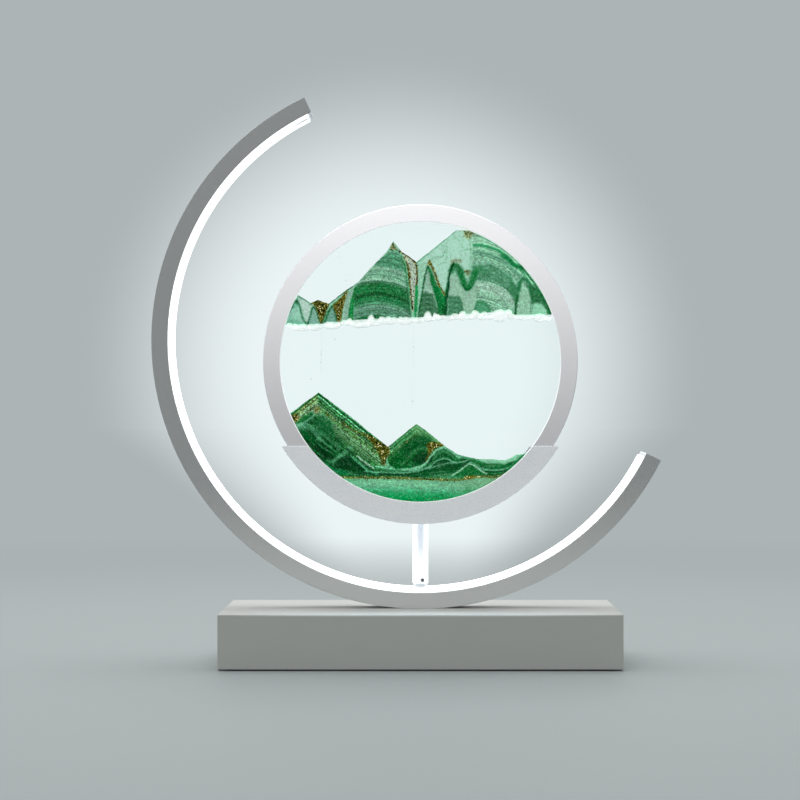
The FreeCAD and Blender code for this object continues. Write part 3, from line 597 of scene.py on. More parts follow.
def paint_upper(u, w, ragged):
    """The sand held up by the bubbles: arched layers cut by V-shaped cracks."""
    p = Picture(u, w, ragged)
    p.lay(1, MINT)

    # right mountain: arcs that follow the rim
    arc = p.height_over([97,574, 229,592, 269,597, 310,597, 350,587, 391,572, 426,554, 451,534,
        476,506, 502,483, 522,463, 578,377, 653,266])
    p.strata(soft(p.u, 25.2, 27.4), arc, [
        (6, 0x9ed6b4), (1.2, 0xa4d7b6), (0.6, 0x70c092), (0, 0x34a066), (-0.7, 0x5cb484),
        (-1.3, 0x9eccaf), (-3, 0x7cb896), (-4.2, 0x62a082), (-5.4, 0x84bc9a), (-8, 0x8cbea2),
        (-10, 0x80b498), (-10.8, 0x4a8e6a), (-12.4, 0x5c9a78), (-14, 0x468a66), (-15.6, 0x589674),
        (-17.2, 0x387a58), (-18, 0x9ec8af), (-21, 0xa8ceb6), (-25, 0x8ec0a2), (-34, 0x80b898),
    ])
    p.draw([
        (0.9, 0x2e9a62, [270,600, 338,592, 395,570, 442,538, 474,507], 0.8, 0.7),
        (1.9, 0x0e7c46, [422,544, 448,526, 474,500, 500,489, 515,479], 0.85, 0.9),
        (0, 0xb6e2cc, [-16,498, 188,675, 269,665, 264,498, 244,463, 219,483, 163,524, 145,478,
         120,352, 47,508, 12,488, -11,347], 1, 0.6),
        (0.9, 0x8ec8a8, [259,655, 255,599, 260,539, 249,488], 0.7),
        (0.45, 0x7ebe9c, [54,503, 63,531, 90,536, 110,534, 123,559, 120,592, 108,599], 0.8),
        (0.45, 0x82c2a0, [97,498, 124,512, 136,549, 134,587], 0.7),
        (0.5, 0x86c4a2, [163,625, 188,630, 209,609, 214,579], 0.6),
        (0.5, 0x78c098, [221,572, 259,577, 269,568], 0.7),
    ])

    # lower layers of the right mountain
    p.draw([
        (0, 0x96bea6, [148,417, 168,438, 201,440, 221,377, 231,296, 223,265, 200,326, 147,336]),
        (0, 0x569474, [140,215, 145,341, 201,335, 223,265, 219,215]),
        *((0.75, 0x327652, [144,z + 10, 173,z + 6, 199,z, 216,z - 25], 0.75)
          for z in (321, 299, 273, 248)),
        (0, 0x9ac4a6, [202,335, 229,273, 255,200, 276,273, 283,335, 255,367, 229,356], 1, 0.6),
        (0, 0x58a47a, [270,200, 286,308, 328,303, 349,283, 369,231, 395,200], 1, 0.5),
        (0.9, 0x2c8054, [278,252, 287,304, 312,305, 338,295, 356,267], 0.8, 0.6),
        (0.9, 0x3e9466, [296,267, 328,270, 354,247], 0.5),
    ])
    band = [286,492, 322,502, 364,500, 416,475, 466,440, 474,367, 416,387, 364,408, 286,416,
        260,387]
    p.patch(0x72b08e, band, 0.84, 0.9)
    streak = waves(0.35 * p.u, p.w, 0.7, 5) + waves(p.u, p.w, 0.9, 6)
    in_band = p.inside(band, 0.9)
    p.lay(in_band * 0.52 * soft(streak, 0.1, 0.9), 0x226c44)
    p.lay(in_band * 0.5 * soft(-streak, 0.2, 0.9), 0x92c4a6)
    p.draw([
        *((0.8, 0x3a7e58, [283,485 - drop, 328,491 - drop, 375,485 - drop, 422,455 - drop, 461,419 -
                          drop], 0.55, 0.6)
          for drop in (0, 21.2, 42.4, 60.6)),
        (0, 0xa0cab0, [147,408, 156,440, 197,445, 214,387, 233,346, 255,356, 283,416, 281,283,
         255,247, 208,335, 147,340], 1, 0.5),
        (3, 0x408c62, [157,466, 171,484, 193,479, 209,440, 228,392, 243,382, 259,400, 278,455,
         307,479], 0.9, 1),
        (1.9, 0x0c743e, [204,463, 217,419, 232,384, 243,378, 255,387, 268,419, 282,460], 0.9, 0.9),
        (1.5, 0x14683c, [156,468, 166,490, 183,494, 201,476], 0.85, 0.8),
        (0.6, 0x06542e, [166,498, 151,465, 145,429, 142,393], 0.85),
        (0.7, 0x04542c, [219,393, 231,371, 248,369, 260,381], 0.8),
        (0, 0x96a480, [158,526, 208,524, 214,506, 182,507, 156,503], 0.8, 0.6, 0.3),
        (0, 0x788e60, [221,463, 234,471, 260,468, 249,442, 239,440], 0.85, 0.5, 0.45),
        (0, 0x3c865e, [455,460, 474,408, 489,377, 502,408, 515,419, 508,346, 493,288, 485,283,
         473,325, 458,377], 0.9, 0.9),
        (0.9, 0x0e5c34, [495,335, 489,288, 486,241], 1, 0.5),
        (0, 0x9cccae, [495,200, 500,304, 513,387, 529,408, 553,367, 565,304, 565,200], 1, 0.6),
        (1.4, 0x287a52, [504,367, 515,416, 536,424, 555,400, 565,346], 0.9, 0.7),
        (0, 0x246c48, [553,387, 573,393, 599,377, 625,340, 667,262, 651,257, 622,299, 589,304,
         568,293], 0.92, 0.8),
        (0, 0x98d6b4, [563,200, 571,278, 591,301, 620,291, 647,257, 649,200], 1, 0.7),
        (0.8, 0x0a6036, [515,487, 547,450, 589,393, 625,335, 662,267, 669,241], 0.85, 0.5),
        (1.2, 0x14643a, [648,283, 657,257, 663,228], 0.8, 0.8),
        (0.6, 0x54a878, [300,651, 401,593, 502,512], 0.6),
    ])

    # spire between the two cracks
    p.draw([
        (0, 0xa0d3b6, [-19,498, 49,516, 29,458, 9,352, -11,230, -31,215, -23,347, -16,417]),
        (0, 0x96bea6, [-10,215, 10,369, 29,458, 44,498, 67,387, 93,316, 114,261, 114,215]),
        (0, 0x3a7054, [-8,215, 5,352, 27,358, 67,346, 88,296, 99,215]),
        *((0.7, 0x5c9274, [2,z, 32,z + 7, 65,z + 2, 83,z - 18], 0.8)
          for z in (326, 301, 275, 251)),
        (0.5, 0xb4d6c2, [10,371, 27,369, 53,361, 69,344, 93,262]),
        (0, RICH, [39,493, 51,478, 93,377, 120,325, 134,347, 137,215, 101,215, 82,306, 54,397]),
        (0, DEEP, [120,347, 142,417, 149,397, 136,301, 129,215, 107,215, 113,296]),
        (0.8, DARK, [129,235, 135,316, 140,377, 147,425, 156,476, 169,505]),
        (0.65, DEEP, [-12,230, 1,316, 12,372, 22,428, 30,463, 47,517]),
        (0.9, GOLD, [47,514, 72,458, 87,417, 98,386, 121,346], 1, 0.3, 0.75),
        (1.2, 0x148c4c, [97,377, 113,337, 123,296], 0.8),
        (0, 0x78702e, [36,498, 47,526, 55,496], 1, 0.35, 0.8),
        (0.5, 0x5ca87e, [-16,512, 87,594, 188,674, 229,671]),
        (0, 0xa6b886, [221,672, 245,677, 277,669, 268,643, 245,627, 224,642], 0.9, 1, 0.6),
        (0.5, 0x8c8c50, [260,667, 283,661, 304,649], 0.8, 0.3, 0.4),
    ])

    # left mountain: arched layers
    body = p.inside([-341,153, -339,308, -333,381, -322,408, -235,518, -153,581, -114,576, -85,541,
        -72,481, -63,408, -54,335, -44,244, -43,153], 0.3)
    over = p.height_over([-399,385, -335,401, -308,413, -262,423, -217,427, -171,421, -125,411,
        -61,385, 12,353])
    p.strata(body, over, [
        (18, 0x70b692), (14, 0x6ab08c), (11.8, 0x4a926c), (10, 0x5c9e7a), (8.4, 0x448c68),
        (6.8, 0x62a280), (5.4, 0x98c4a8), (4.2, 0x74ae8e), (3.2, 0x86ba9c), (1.6, 0x74ac8c),
        (0.7, 0x7ab292), (0, 0xa8d4b8), (-0.7, 0x8cc0a2), (-1.1, 0x50866a), (-2.3, 0x367454),
        (-2.9, 0x1c7444), (-4.6, 0x22804c), (-6.6, 0x1e7042), (-7.9, 0x105030), (-8.9, 0x1e6e44),
        (-10.6, 0x267e52), (-12, 0x469268), (-13.4, 0x74aa8c), (-15.4, 0x64967e), (-16.6, 0x4a8468),
        (-17.6, 0x74a88c), (-18.8, 0x3a8460), (-19.6, 0x1a7046), (-22, 0x287e54),
    ])
    p.lay(body * soft(p.u, -11.5, -5.0) * (p.w < 36) * 0.34, 0x426858)
    p.draw([
        (0.4, 0x286042, [-112,290, -115,262, -114,217], 0.7),
        (0.55, 0x96ccac, [-321,406, -240,504, -157,567], 0.8),
        (0, 0x96a474, [-154,572, -151,592, -139,611, -127,595, -120,573], 1, 0.3, 0.55),
    ])

    # right slope of the left mountain, and the crack beside it
    p.draw([
        (0, 0xbeceba, [-120,578, -21,506, -19,427, -23,326, -29,153, -41,153, -50,335, -61,427,
         -72,495, -89,545], 1, 0.35, 0.2),
        (1.1, 0x70642c, [-85,531, -61,472, -56,408, -51,344, -42,271], 1, 0.3, 0.7),
        (0.5, 0x70c494, [-93,545, -72,486, -62,408, -53,322, -45,239]),
        (0.45, 0x1a683e, [-97,536, -78,481, -69,408, -60,322, -51,239], 0.8),
        (0.75, BROWN, [-105,565, -61,541, -34,517, -22,500, -17,445, -20,381], 1, 0.3, 0.5),
        (1.5, 0x189452, [-20,385, -20,335, -25,267, -30,207]),
        (0.9, 0x84cca4, [-36,253, -34,217, -32,189]),
    ])

    # small arches, gold mound and gold streak at the left
    p.draw([
        (0, 0x9ed4bc, [-691,153, -686,207, -669,255, -631,321, -599,217, -580,153]),
        (1.5, 0x68b292, [-659,276, -637,290, -616,287], 0.8),
        (0, 0x7cc0a2, [-691,153, -669,226, -628,217, -599,189, -599,153], 1, 1),
        (0, 0xbcd8ca, [-628,342, -558,300, -576,185]),
        (0.6, 0x166c44, [-670,254, -650,294, -632,316, -621,297, -599,217, -576,191]),
        (0, DEEP, [-642,299, -632,322, -620,296], 0.8),
        (0, 0x86b6a4, [-576,153, -561,239, -548,284, -532,249, -510,153]),
        (0.6, 0x146840, [-577,190, -561,239, -550,280, -534,262, -511,194]),
        (0.4, 0x96cdac, [-563,294, -546,293, -534,274, -518,230]),
        (0, 0x92ccaa, [-507,153, -491,239, -467,295, -372,371, -317,408, -331,381, -445,294,
         -491,217, -500,153]),
        (0, 0x74aa96, [-491,153, -481,226, -451,287, -435,253, -420,153]),
        (0.6, 0x0e643a, [-491,198, -480,226, -452,284, -438,255, -422,198]),
        (0.4, 0x106c3c, [-501,198, -477,251, -445,294, -399,335], 0.8),
        (0, 0x887a30, [-447,291, -422,316, -371,371, -374,349, -389,299, -398,262, -404,221,
         -421,194, -430,244], 1, 0.35, 0.8),
        (0, 0x92baa4, [-406,153, -392,262, -374,349, -331,408, -339,372, -365,312, -376,217,
         -376,153]),
        (0, 0x0a743c, [-376,153, -368,262, -354,326, -333,392, -328,381, -341,290, -344,153]),
        (0.8, 0x10964c, [-348,326, -354,262, -351,221]),
        (0.45, 0x145432, [-468,296, -422,335, -372,371, -326,406]),
        (0, 0x544810, [-565,295, -545,312, -523,321, -495,315, -465,295, -481,262, -506,189,
         -523,239, -536,278, -548,297], 1, 0.35, 0.9),
        (0.4, 0x3c8c64, [-628,341, -591,318, -561,299]),
    ])
    return p


def paint_lower(u, w, ragged):
    """The sand that has run down: layers along the slopes over flat ones."""
    p = Picture(u, w, ragged)
    flat = p.height_over([-493,-591, -272,-591, -105,-593, 6,-598, 116,-602, 205,-602, 227,-591,
        249,-584, 283,-587, 338,-586, 394,-585, 504,-560, 588,-549])
    p.strata(1, flat, [
        (30, 0x3c8c60), (0.9, 0x70b68c), (0.3, 0x68803c, 0.6), (-0.3, 0x6c823c, 0.6),
        (-0.8, 0x70b68c), (-3.2, 0x7abe96), (-5.4, 0x5aae82), (-8, 0x1e985e), (-10.6, 0x028c50),
        (-16, 0x008448),
    ], lines=0.1)
    p.lay(soft(p.u, 12, 30) * (flat < -0.9) * 0.55, 0x709e74)
    p.lay(soft(p.u, -26, -44) * (flat < -0.6) * 0.5, 0x3ca670)

    # wavy layers at the right
    first = p.height_over([-244,-527, -50,-549, 22,-521, 61,-471, 89,-446, 116,-434, 139,-441,
        166,-460, 194,-480, 227,-476, 272,-485, 305,-498, 371,-498, 427,-501, 466,-488, 493,-471,
        554,-466])
    second = p.height_over([-327,-555, -105,-565, -50,-562, 6,-551, 50,-532, 83,-505, 116,-491,
        139,-494, 172,-513, 205,-521, 249,-511, 283,-527, 316,-546, 394,-549, 449,-538, 504,-521,
        560,-505])
    above = soft(flat, 0.5, 0.8)
    p.strata(above, first, [
        (1, 0x6cba8c), (-0.6, 0x70be90), (-1.4, 0x328454), (-2.4, 0x08582c), (-3.4, 0x3a8c5a),
        (-4.4, 0x56a274), (-6, 0x1c6a3c), (-8, 0x489464),
    ])
    p.strata(above * soft(-second, -0.15, 0.15), second, [
        (0.3, 0x84cea6), (-0.3, 0x74c498), (-0.7, 0x084e2c), (-1.5, 0x064828), (-1.9, 0x328052),
        (-2.4, 0x064a26), (-3.2, 0x064e2a), (-3.7, 0x429262), (-4.3, 0x06502a), (-5, 0x2c7a4c),
        (-7, 0x3c8a5c),
    ])
    p.draw([
        (0, 0x0a5830, [57,-525, 78,-482, 101,-459, 122,-450, 144,-458, 172,-482, 197,-513, 167,-506,
         139,-487, 116,-484, 86,-498]),
        (0.5, 0x54a474, [61,-505, 89,-471, 119,-455, 150,-471, 183,-502], 0.7),
        (0, 0x084a2a, [83,-527, 112,-502, 139,-505, 194,-527, 139,-529]),
        (0, 0x084e2c, [19,-553, 93,-539, 156,-522, 220,-515, 259,-500, 239,-519, 200,-544, 151,-556,
         4,-563], 1, 0.5),
        (0.4, 0x78ba94, [29,-548, 93,-528, 151,-517, 210,-512, 249,-500], 0.8),
        (0.3, 0x64aa82, [73,-555, 132,-542, 181,-533, 220,-522], 0.7),
        (0, 0x90cea8, [234,-475, 288,-471, 347,-496, 386,-500, 440,-500, 508,-471, 533,-471,
         484,-505, 435,-520, 337,-519, 288,-490, 259,-490], 0.85, 0.6),
        (0.9, 0x064c2a, [-17,-569, 61,-555, 127,-547, 194,-530, 238,-520]),
        (0.7, 0x0a5832, [6,-579, 83,-571, 150,-562, 205,-545]),
        (1.3, 0x0e6038, [308,-533, 349,-541, 405,-541, 449,-530, 493,-516]),
        (1.2, 0x187c4c, [449,-549, 482,-521, 515,-488, 549,-474], 0.8),
        (0, 0x0e6a38, [164,-581, 205,-555, 238,-530, 255,-525, 272,-532, 300,-555, 335,-577,
         249,-586]),
        (0.5, 0x9ad4ae, [163,-579, 205,-553, 238,-528, 255,-522, 276,-531, 303,-553, 338,-573]),
        (0, GOLD, [219,-602, 233,-586, 255,-581, 283,-586, 277,-598, 249,-602], 0.8, 0.35, 0.8),
    ])

    # second mountain
    second_hill = p.inside([-173,-433, -18,-315, 61,-374, 133,-430, 112,-436, 86,-447, 60,-471,
        33,-511, -6,-533, -72,-549, -127,-549, -161,-521], 0.3)
    right_depth = p.depth_under([-19,-313, 197,-469])
    depth = np.minimum(p.depth_under([-171,-434, -19,-313]), right_depth)
    p.strata(second_hill, depth, [
        (0, 0x388654), (0.6, 0x58a470), (1.4, 0x54a068), (1.9, 0x388248), (2.3, 0x2e7a42),
        (2.7, 0x64ac78), (3.1, 0x6cb27a), (3.7, 0x4a8c54, 0.1), (4.5, 0x387842, 0.2),
        (5.3, 0x166230, 0.05), (6.2, 0x0e5e2c), (8.5, 0x025424), (13, 0x086432), (20, 0x0a5c32),
    ], lines=0.7)
    cap = soft(right_depth, 0.3, 0.8) * (1 - soft(right_depth, 2.6, 6.0)) * soft(p.w, -46.0, -40.0)
    p.lay(second_hill * cap * 0.8, 0x6aaa6c, 0.08)
    p.draw([
        (0, 0x06542c, [-108,-451, -64,-407, -25,-382, 19,-368, 53,-387, 74,-421, 83,-461, 24,-441,
         -25,-456, -74,-490], 0.85, 1.7),
        (0, 0x03381c, [-44,-510, -25,-480, 0,-461, 29,-456, 53,-470, 66,-495, 58,-514, 4,-522], 0.9,
         1),
        (1.1, 0x468658, [-84,-519, -54,-480, -25,-453, 9,-442, 44,-447, 74,-470], 0.55, 1.1, 0.08),
    ])
    core = p.inside([-128,-461, -25,-368, 27,-353, 73,-407, 88,-461, 58,-519, -44,-519], 1.2)
    p.lay(core * 0.4 * soft(waves(p.u, p.w, 0.9, 5), 0.2, 0.9), 0x408c60)
    p.draw([
        (0.7, 0x1a703e, [-150,-433, -100,-387, -54,-348], 0.6, 0.3, 0.08),
        (0.7, 0x1a703e, [-137,-450, -87,-404, -41,-365], 0.6, 0.3, 0.08),
        (0, 0x6e621a, [33,-419, 61,-409, 105,-413, 126,-433, 90,-434, 62,-453, 40,-471], 1, 0.6,
         0.8),
        (0.6, 0x786c28, [62,-451, 40,-482, 25,-516], 1, 0.3, 0.8),
        (0.7, 0x84cea4, [133,-429, 116,-436, 89,-447, 61,-473, 23,-520, -17,-539, -94,-549]),
    ])

    # left mountain
    hill = p.inside([-691,-288, -523,-156, -171,-433, -176,-489, -185,-528, -226,-533, -258,-545,
        -294,-562, -372,-569, -463,-567, -582,-439, -650,-320], 0.25)
    right_depth = p.depth_under([-523,-158, -171,-434])
    left_depth = p.depth_under([-666,-268, -523,-158])
    p.strata(hill, right_depth, [
        (0, 0x064e20), (0.8, 0x085426), (1.2, 0x64ba82), (1.6, 0x76ce96), (1.95, 0x3c8654),
        (2.4, 0x488e5c), (2.8, 0x327442), (3.3, 0x10582a), (3.6, 0x1e6434), (4, 0x5c9c6a),
        (5, 0x68a26a, 0.12), (5.6, 0x3a703c, 0.2), (6.1, 0x407640, 0.2), (6.6, 0x649864, 0.14),
        (7.4, 0x6aa070, 0.1), (8.2, 0x609668), (8.9, 0x4a8250), (9.5, 0x548e5c), (10.5, 0x3c7c4a),
        (11.4, 0x2c7240), (12.4, 0x307444), (13.2, 0x246a3a), (14.4, 0x287042), (16, 0x0a542c),
        (20, 0x08542c), (27, 0x044222),
    ], lines=1.1)
    core = p.inside([-625,-318, -543,-282, -502,-309, -374,-391, -255,-519, -282,-556, -438,-556,
        -556,-437, -629,-355], 1.5)
    p.lay(core * 0.5 * soft(waves(p.u, p.w, 2.2, 5), 0.0, 0.5), 0x48926c)
    p.lay(core * 0.6 * soft(-waves(p.u, p.w, 3.4, 4), 0.0, 0.5), 0x044a2a)
    p.draw([
        (0, 0x54805a, [-444,-325, -401,-355, -328,-410, -255,-483, -282,-496, -365,-437, -438,-373],
         0.5, 1.6),
    ])
    nearer = soft(right_depth - left_depth, -0.6, 0.6) * hill
    p.strata(nearer * soft(-left_depth, -9.4, -7.6), left_depth, [
        (0, 0x0a582a), (0.8, 0x2c6e34, 0.1), (1.4, 0x80a868, 0.25), (2.4, 0x749c5c, 0.35),
        (3.3, 0x8cbc8c, 0.1), (4, 0x80ac80, 0.2), (5, 0x76a470, 0.3), (6.2, 0x80b892, 0.1),
        (7.6, 0x68ac88), (9.6, 0x3c8e68),
    ], lines=0.7)
    p.draw([
        (0, 0x086430, [-639,-315, -607,-283, -556,-257, -543,-268, -588,-300, -629,-319], 0.9, 0.5),
        (0, 0x9c8a18, [-665,-278, -643,-265, -618,-275, -629,-300, -649,-302], 1, 0.5, 0.9),
        (0, 0x8c8246, [-547,-241, -520,-225, -513,-250, -538,-268], 0.8, 0.7, 0.4),
        (0, 0x0a603a, [-533,-282, -497,-268, -447,-314, -451,-364, -502,-373, -533,-332], 0.75,
         1.8),
        (0, 0x03542a, [-618,-357, -595,-353, -538,-394, -543,-410, -584,-403, -609,-373], 0.95,
         0.5),
        (1.5, 0x5ca47e, [-618,-332, -579,-323, -543,-355, -502,-410, -447,-465], 0.75, 1),
        (1, 0x468c68, [-597,-337, -543,-346, -492,-373, -456,-410, -419,-437], 0.5, 1),
        (0, 0x023218, [-540,-414, -502,-410, -438,-462, -438,-499, -474,-499, -533,-455], 0.95,
         0.6),
        (0.6, 0x389264, [-524,-417, -488,-444, -442,-476], 0.7),
        (0, 0x02381c, [-438,-492, -374,-483, -292,-538, -282,-558, -374,-556, -447,-542], 0.95,
         0.8),
        (1.4, 0x549c76, [-444,-512, -415,-483, -378,-458, -355,-437], 0.75, 0.9),
        (0.9, 0x064c28, [-374,-446, -301,-506, -244,-554], 1, 0.5),
        (0.55, 0xb0dec0, [-328,-478, -285,-511, -239,-546], 1, 0.2),
        (0.6, 0x54ac80, [-355,-483, -305,-524, -269,-556, -219,-574], 0.85),
        (0.6, 0x064c2a, [-374,-506, -328,-547, -282,-569, -209,-580, 22,-581], 0.85),
        (0, 0x0c7c4e, [-497,-510, -438,-542, -346,-567, -374,-579, -419,-574, -474,-542], 0.8, 0.9),
        (1.2, 0x107648, [-620,-373, -579,-437, -511,-510, -438,-565], 0.75, 0.9),
        (0, 0x5c6028, [-292,-364, -246,-382, -200,-410, -161,-437, -155,-458, -168,-483, -182,-524,
         -193,-524, -205,-483, -225,-446, -250,-410], 1, 0.8, 0.86),
        (0.8, 0x544c14, [-401,-309, -346,-346, -282,-378, -237,-410], 0.6, 0.8, 0.45),
    ])
    return p


def sand_material():
    """Dyed quartz sand behind glass: the layers' colours, single grains, and gold glitter."""
    look = Look("green_sand")
    stored = {label: look.add("Attribute", attribute_name=label).outputs
              for label in ("layers", "glitter", "lined", "depth")}
    layers, lined = stored["layers"]["Color"], stored["lined"]["Fac"]
    brightness = look.add("RGBToBW", {0: layers}).outputs[0]

    # every grain a little lighter or darker, more so where the layers are lined
    lottery = look.cells(GRAIN)
    shade = look.times(look.ease(lottery["Red"], 0.0, 1.0, -0.22, 0.22),
                       look.ease(brightness, 0.35, 0.6, 1.0, 0.3))
    sparkle = look.times(look.ease(lottery["Red"], 0.0, 1.0, -0.6, 0.6), lined)
    clumps = look.span(look.noise(0.0009, 4.0, 2.0), 0.3, 0.7, 0.8, 1.2)
    level = look.times(look.plus(shade, sparkle, 1.0), clumps)

    # fine lines along the layers
    bands = look.add("TexNoise", {"W": stored["depth"]["Fac"], "Scale": 1.25, "Detail": 3.0,
                                  "Roughness": 0.6}, noise_dimensions="1D").outputs["Fac"]
    lines = look.plus(look.times(look.ease(bands, 0.38, 0.62, -0.62, 0.62), lined), 1.0)
    grained = look.add("VectorMath", {0: layers, "Scale": look.times(level, lines)},
                       operation="SCALE").outputs["Vector"]

    # single pale and single dark grains
    pale = look.times(look.ease(lottery["Green"], 0.8, 0.95),
                      look.ease(brightness, 0.02, 0.14, 0.12, 0.32))
    grained = look.mix(pale, grained, 0x80b294)
    deep = look.times(look.ease(lottery["Blue"], 0.82, 0.95),
                      look.ease(brightness, 0.12, 0.42, 0.4, 0.0))
    grained = look.mix(deep, grained, 0x083a22)

    # gold glitter: flakes of four brightnesses
    flake = 0x0a1202
    for start, end, colour in ((0.46, 0.52, 0x464a0c), (0.68, 0.74, 0x84842e),
                               (0.92, 0.95, 0xece2a0)):
        flake = look.mix(look.ease(lottery["Green"], start, end), flake, colour)
    flakes = look.ease(look.minus(stored["glitter"]["Fac"], lottery["Blue"]), 0.0, 0.12)
    colour = look.mix(flakes, grained, flake)
    # the sand's glow is painted light, standing in for the lamp's light on it
    look.paint({"Base Color": colour, "Emission Color": colour, "Emission Strength": SAND_PAINTED_GLOW,
                "Roughness": 0.8, "Specular IOR Level": 0.02,
                "Normal": look.relief(lottery["Red"], 0.00003, 0.5)})
    return look.owner


def over_bubbles(u, low):
    """The sand's underside where it lies on the bubbles."""
    for across, up, wide, tall in BUBBLES:
        off = np.clip((u - across) / wide, -1, 1)
        dome = np.where(np.abs(off) < 1, up + tall * np.sqrt(1 - off**2) * 0.98, -np.inf)
        low = np.maximum(low, dome)
    return low


def sand_piece(name, node, top, underside, paint):
    """A slab of sand between the panes, on fine columns so that its layers can be coloured."""
    reach = CAVITY_RADIUS * 1000 - RIM_GAP
    half = CAVITY_HALF * 1000 - PANE_GAP
    u = np.arange(-reach, reach, COLUMN_STEP)
    rim = np.sqrt(np.maximum(reach**2 - u**2, 0))
    high = np.minimum(np.interp(u, *pairs(top).T), rim)
    low = np.maximum(np.interp(u, *pairs(underside).T), -rim)
    if node == "sand_upper":
        low = over_bubbles(u, low)
    rough = 0.16 * waves(u, 0 * u, 1.5, 4) + 0.1 * waves(u, 0 * u, 0.6, 5)
    high = np.minimum(high + rough - RIM_GAP, rim)
    kept = high - low > THINNEST_SAND
    u, high, low = u[kept], high[kept], low[kept]
    across = np.repeat(u, ROWS)
    up = (low[:, None] + (high - low)[:, None] * np.linspace(0, 1, ROWS)).ravel()
    count = len(across)

    # the crest and the depth are taken without the raggedness of single grains
    picture = paint(across, up, RAGGED)
    even = paint(across, up, 0.0)
    crest = np.arange(ROWS - 1, count, ROWS)
    picture.rgb[crest], picture.gold[crest] = even.rgb[crest], even.gold[crest]

    points = np.vstack([np.stack([PICTURE.x * 1000 + across, np.full(count, depth),
                                  PICTURE.z * 1000 + up], 1) for depth in (-half, half)])
    front = np.arange(count).reshape(len(u), ROWS)
    back = front + count

    def strip(a, b):
        return np.stack([a[:-1], a[1:], b[1:], b[:-1]], -1).reshape(-1, 4)

    faces = [strip(front[:, :-1], front[:, 1:]), strip(back[:, :-1], back[:, 1:])[:, [0, 3, 2, 1]],
             strip(back[:, 0], front[:, 0]), strip(front[:, -1], back[:, -1]),
             strip(front[0], back[0]), strip(back[-1], front[-1])]
    mesh = bpy.data.meshes.new(name)
    mesh.from_pydata((points / 1000).tolist(), [], np.vstack(faces).tolist())
    colours = np.ones((2 * count, 4))
    colours[:, :3] = np.tile(linear(picture.rgb), (2, 1))
    colours[:, 2] *= np.interp(colours[:, :3].mean(1), *LESS_BLUE)
    layers = mesh.color_attributes.new("layers", "FLOAT_COLOR", "POINT")
    layers.data.foreach_set("color", colours.ravel())
    for label, values in (("glitter", np.clip(picture.gold, 0, 1)), ("lined", picture.lined),
                          ("depth", even.depth + DEPTH_SHIFT)):
        mesh.attributes.new(label, "FLOAT", "POINT").data.foreach_set("value", np.tile(values, 2))
    mesh.materials.append(sand)
    piece = link_object(name, mesh)
    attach(piece, "picture")
    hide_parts(node)


def bubble_material():
    """Trapped air, bright with a painted glow, with painted shade where its skin turns away."""
    look = Look("air_bubbles")
    rim_shade_facing = look.add("LayerWeight", {"Blend": 0.35}).outputs["Facing"]
    cloud = look.ease(look.noise(0.0016, 2.0, 11.0), 0.35, 0.65)
    middle = look.mix(cloud, 0xeef5f3, 0xffffff)
    # painted shade towards each bubble's rim, where its skin turns away
    colour = look.mix(look.ease(rim_shade_facing, 0.35, 0.95), middle, 0xb8c8c8)
    # the bubbles' glow is painted light
    look.paint({"Base Color": colour, "Emission Color": colour,
                "Emission Strength": BUBBLE_PAINTED_GLOW, "Roughness": 0.12})
    return look.owner


def make_bubbles():
    """The row of air bubbles that holds the upper sand up, each squeezed flat between the panes."""
    build = bmesh.new()
    random = np.random.default_rng(21)
    for across, up, wide, tall in BUBBLES:
        half = min((CAVITY_HALF - 0.0001) * 1000, max(THINNEST_BUBBLE, 1.3 * wide))
        turn = random.uniform(0, 6.28)
        ball = bmesh.ops.create_icosphere(build, subdivisions=4, radius=1.0)["verts"]
        for vertex in ball:
            x, y, z = vertex.co
            squeezed = math.copysign(abs(y) ** 0.62, y)
            angle = math.atan2(z, x)
            lobes = 1 + 0.07 * math.sin(3 * angle + turn) + 0.04 * math.sin(5 * angle + 2 * turn)
            vertex.co = Vector((PICTURE.x * 1000 + across + wide * x * lobes, half * squeezed,
                                PICTURE.z * 1000 + up + tall * z * lobes)) / 1000
    mesh = finished_mesh("air_bubbles", build)
    for face in mesh.polygons:
        face.use_smooth = True
    mesh.materials.append(bubble_material())
    bubbles = link_object("air_bubbles", mesh)
    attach(bubbles, "picture")


def make_falling_sand():
    """Two thin threads of sand falling through the liquid, and a few loose grains."""
    build = bmesh.new()
    random = np.random.default_rng(5)
    grains = [(u, w, random.uniform(0.2, 0.32)) for u, w in pairs(LOOSE_GRAINS)]
    for fall in FALLS:
        (u0, w0), (u1, w1) = pairs(fall)
        for t in np.linspace(0, 1, THREAD_GRAINS):
            grains.append((u0 + (u1 - u0) * t + random.normal(0, 0.05),
                           w0 + (w1 - w0) * t + random.normal(0, 0.12),
                           THREAD_RADIUS * random.uniform(0.5, 1.1)))
    for across, up, size in grains:
        depth = random.uniform(-1.5, 1.5)
        spot = Matrix.Translation((PICTURE.x + across / 1000, depth / 1000,
                                   PICTURE.z + up / 1000))
        grain = bmesh.ops.create_icosphere(build, subdivisions=1, radius=size / 1000, matrix=spot)
        for vertex in grain["verts"]:
            vertex.co += Vector(random.normal(0, 0.12 * size, 3)) / 1000
    mesh = finished_mesh("falling_sand", build)
    finish = finish_of("falling_sand", 0xceded6, 0.8, variation=0.2, patch=0.004)
    mesh.materials.append(finish.owner)
    threads = link_object("falling_sand", mesh)
    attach(threads, "picture")


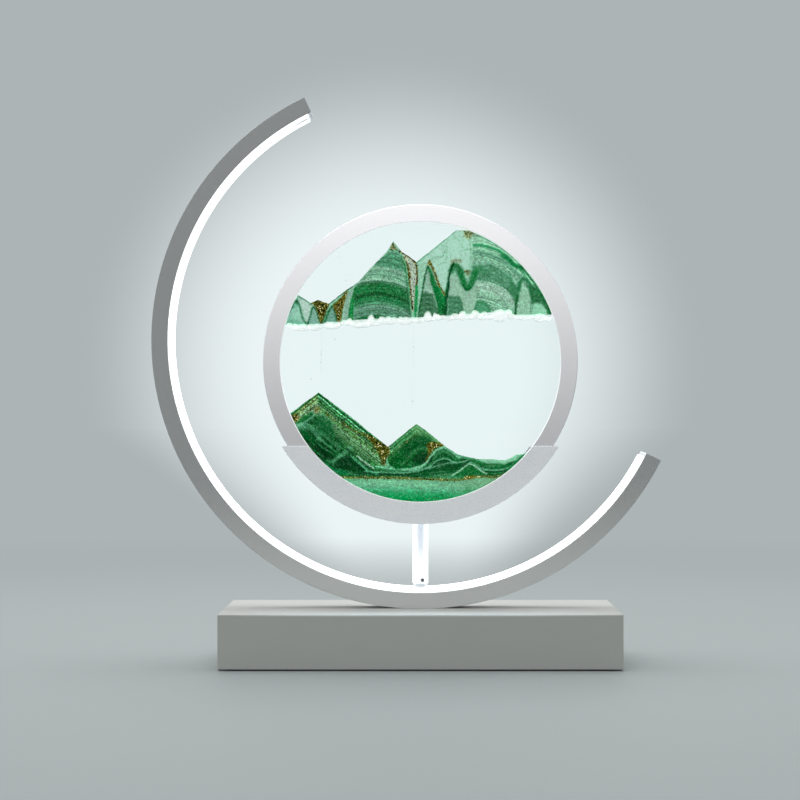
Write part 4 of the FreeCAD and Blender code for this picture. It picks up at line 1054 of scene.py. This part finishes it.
GRAIN = 0.00048  # the size of a grain, in metres; the next lengths are in mm
COLUMN_STEP, ROWS = 0.36, 124  # the sand's fine columns: their step, and the points in each
RIM_GAP, PANE_GAP = 0.12, 0.05  # how far the sand stays from its outline and the panes
THINNEST_SAND, THINNEST_BUBBLE = 0.5, 2.2
RAGGED = 0.18  # how far single grains stray over a layer's edge
THREAD_GRAINS, THREAD_RADIUS = 46, 0.12  # how many grains fall in a thread, and their radius
DEPTH_SHIFT = 40  # keeps the stored depths above 0
LESS_BLUE = ((0.04, 0.2), (0.66, 1.0))  # dark greens hold less blue than pale ones
FALLS = ([-507,159, -509,-50], [-34,186, -41,-240])
LOOSE_GRAINS = [-560,-86, -438,118, -510,42, -511,1, -417,542, -381,419, -40,-200, -35,80]
BUBBLES = np.reshape([  # across, up, half width and half height, in tenths of a millimetre
    -671,189,16,12, -644,185,22,12, -607,183,22,13, -584,179,13,10, -612,177,45,17, -557,183,16,13,
    -530,186,16,11, -539,176,31,14, -511,181,9,9, -475,196,20,12, -452,196,18,13, -429,189,18,13,
    -453,182,40,13, -411,198,11,11, -390,205,13,13, -363,213,13,14, -374,196,17,9, -338,199,17,16,
    -306,201,22,14, -279,199,13,13, -306,191,47,16, -253,223,17,21, -242,202,27,18, -219,204,20,18,
    -196,220,20,15, -164,221,22,14, -137,219,16,13, -169,210,45,18, -100,219,17,14, -73,220,18,14,
    -46,218,14,13, -73,208,42,16, -22,216,11,10, -5,214,20,15, 38,239,20,22, 42,219,26,11,
    74,243,9,11, 90,238,9,10, 86,224,20,10, 118,230,22,12, 148,224,18,12, 179,235,22,17,
    216,246,17,18, 211,227,22,12, 253,229,19,11, 282,244,22,23, 326,244,17,17, 316,227,20,11,
    353,230,17,12, 408,239,42,33, 449,246,24,24, 469,234,16,16, 503,230,18,12, 529,229,20,15,
    552,230,11,13, 569,232,12,12, 610,228,33,22, 654,223,18,13,
], (-1, 4)) / 10
UPPER_TOP = [
    -800,200, -664,271, -627,345, -563,303, -527,319, -468,299, -381,368, -317,409, -264,472,
    -172,563, -139,619, -98,567, -20,513, 57,573, 181,673, 247,673, 320,950,
]
UPPER_UNDERSIDE = [
    -800,189, -683,189, -499,199, -356,217, -208,225, 74,235, 194,245, 421,261, 488,245, 800,245,
]
LOWER_TOP = [
    -800,-260, -664,-261, -522,-155, -354,-281, -264,-356, -167,-434, -20,-315, 38,-356, 120,-424,
    194,-474, 293,-496, 442,-501, 495,-474, 559,-463, 800,-460,
]

sand = sand_material()
sand_piece("upper_sand", "sand_upper", UPPER_TOP, UPPER_UNDERSIDE, paint_upper)
sand_piece("lower_sand", "sand_lower", LOWER_TOP, [-800,-900, 800,-900], paint_lower)
make_bubbles()
make_falling_sand()
dress(frame["record"])
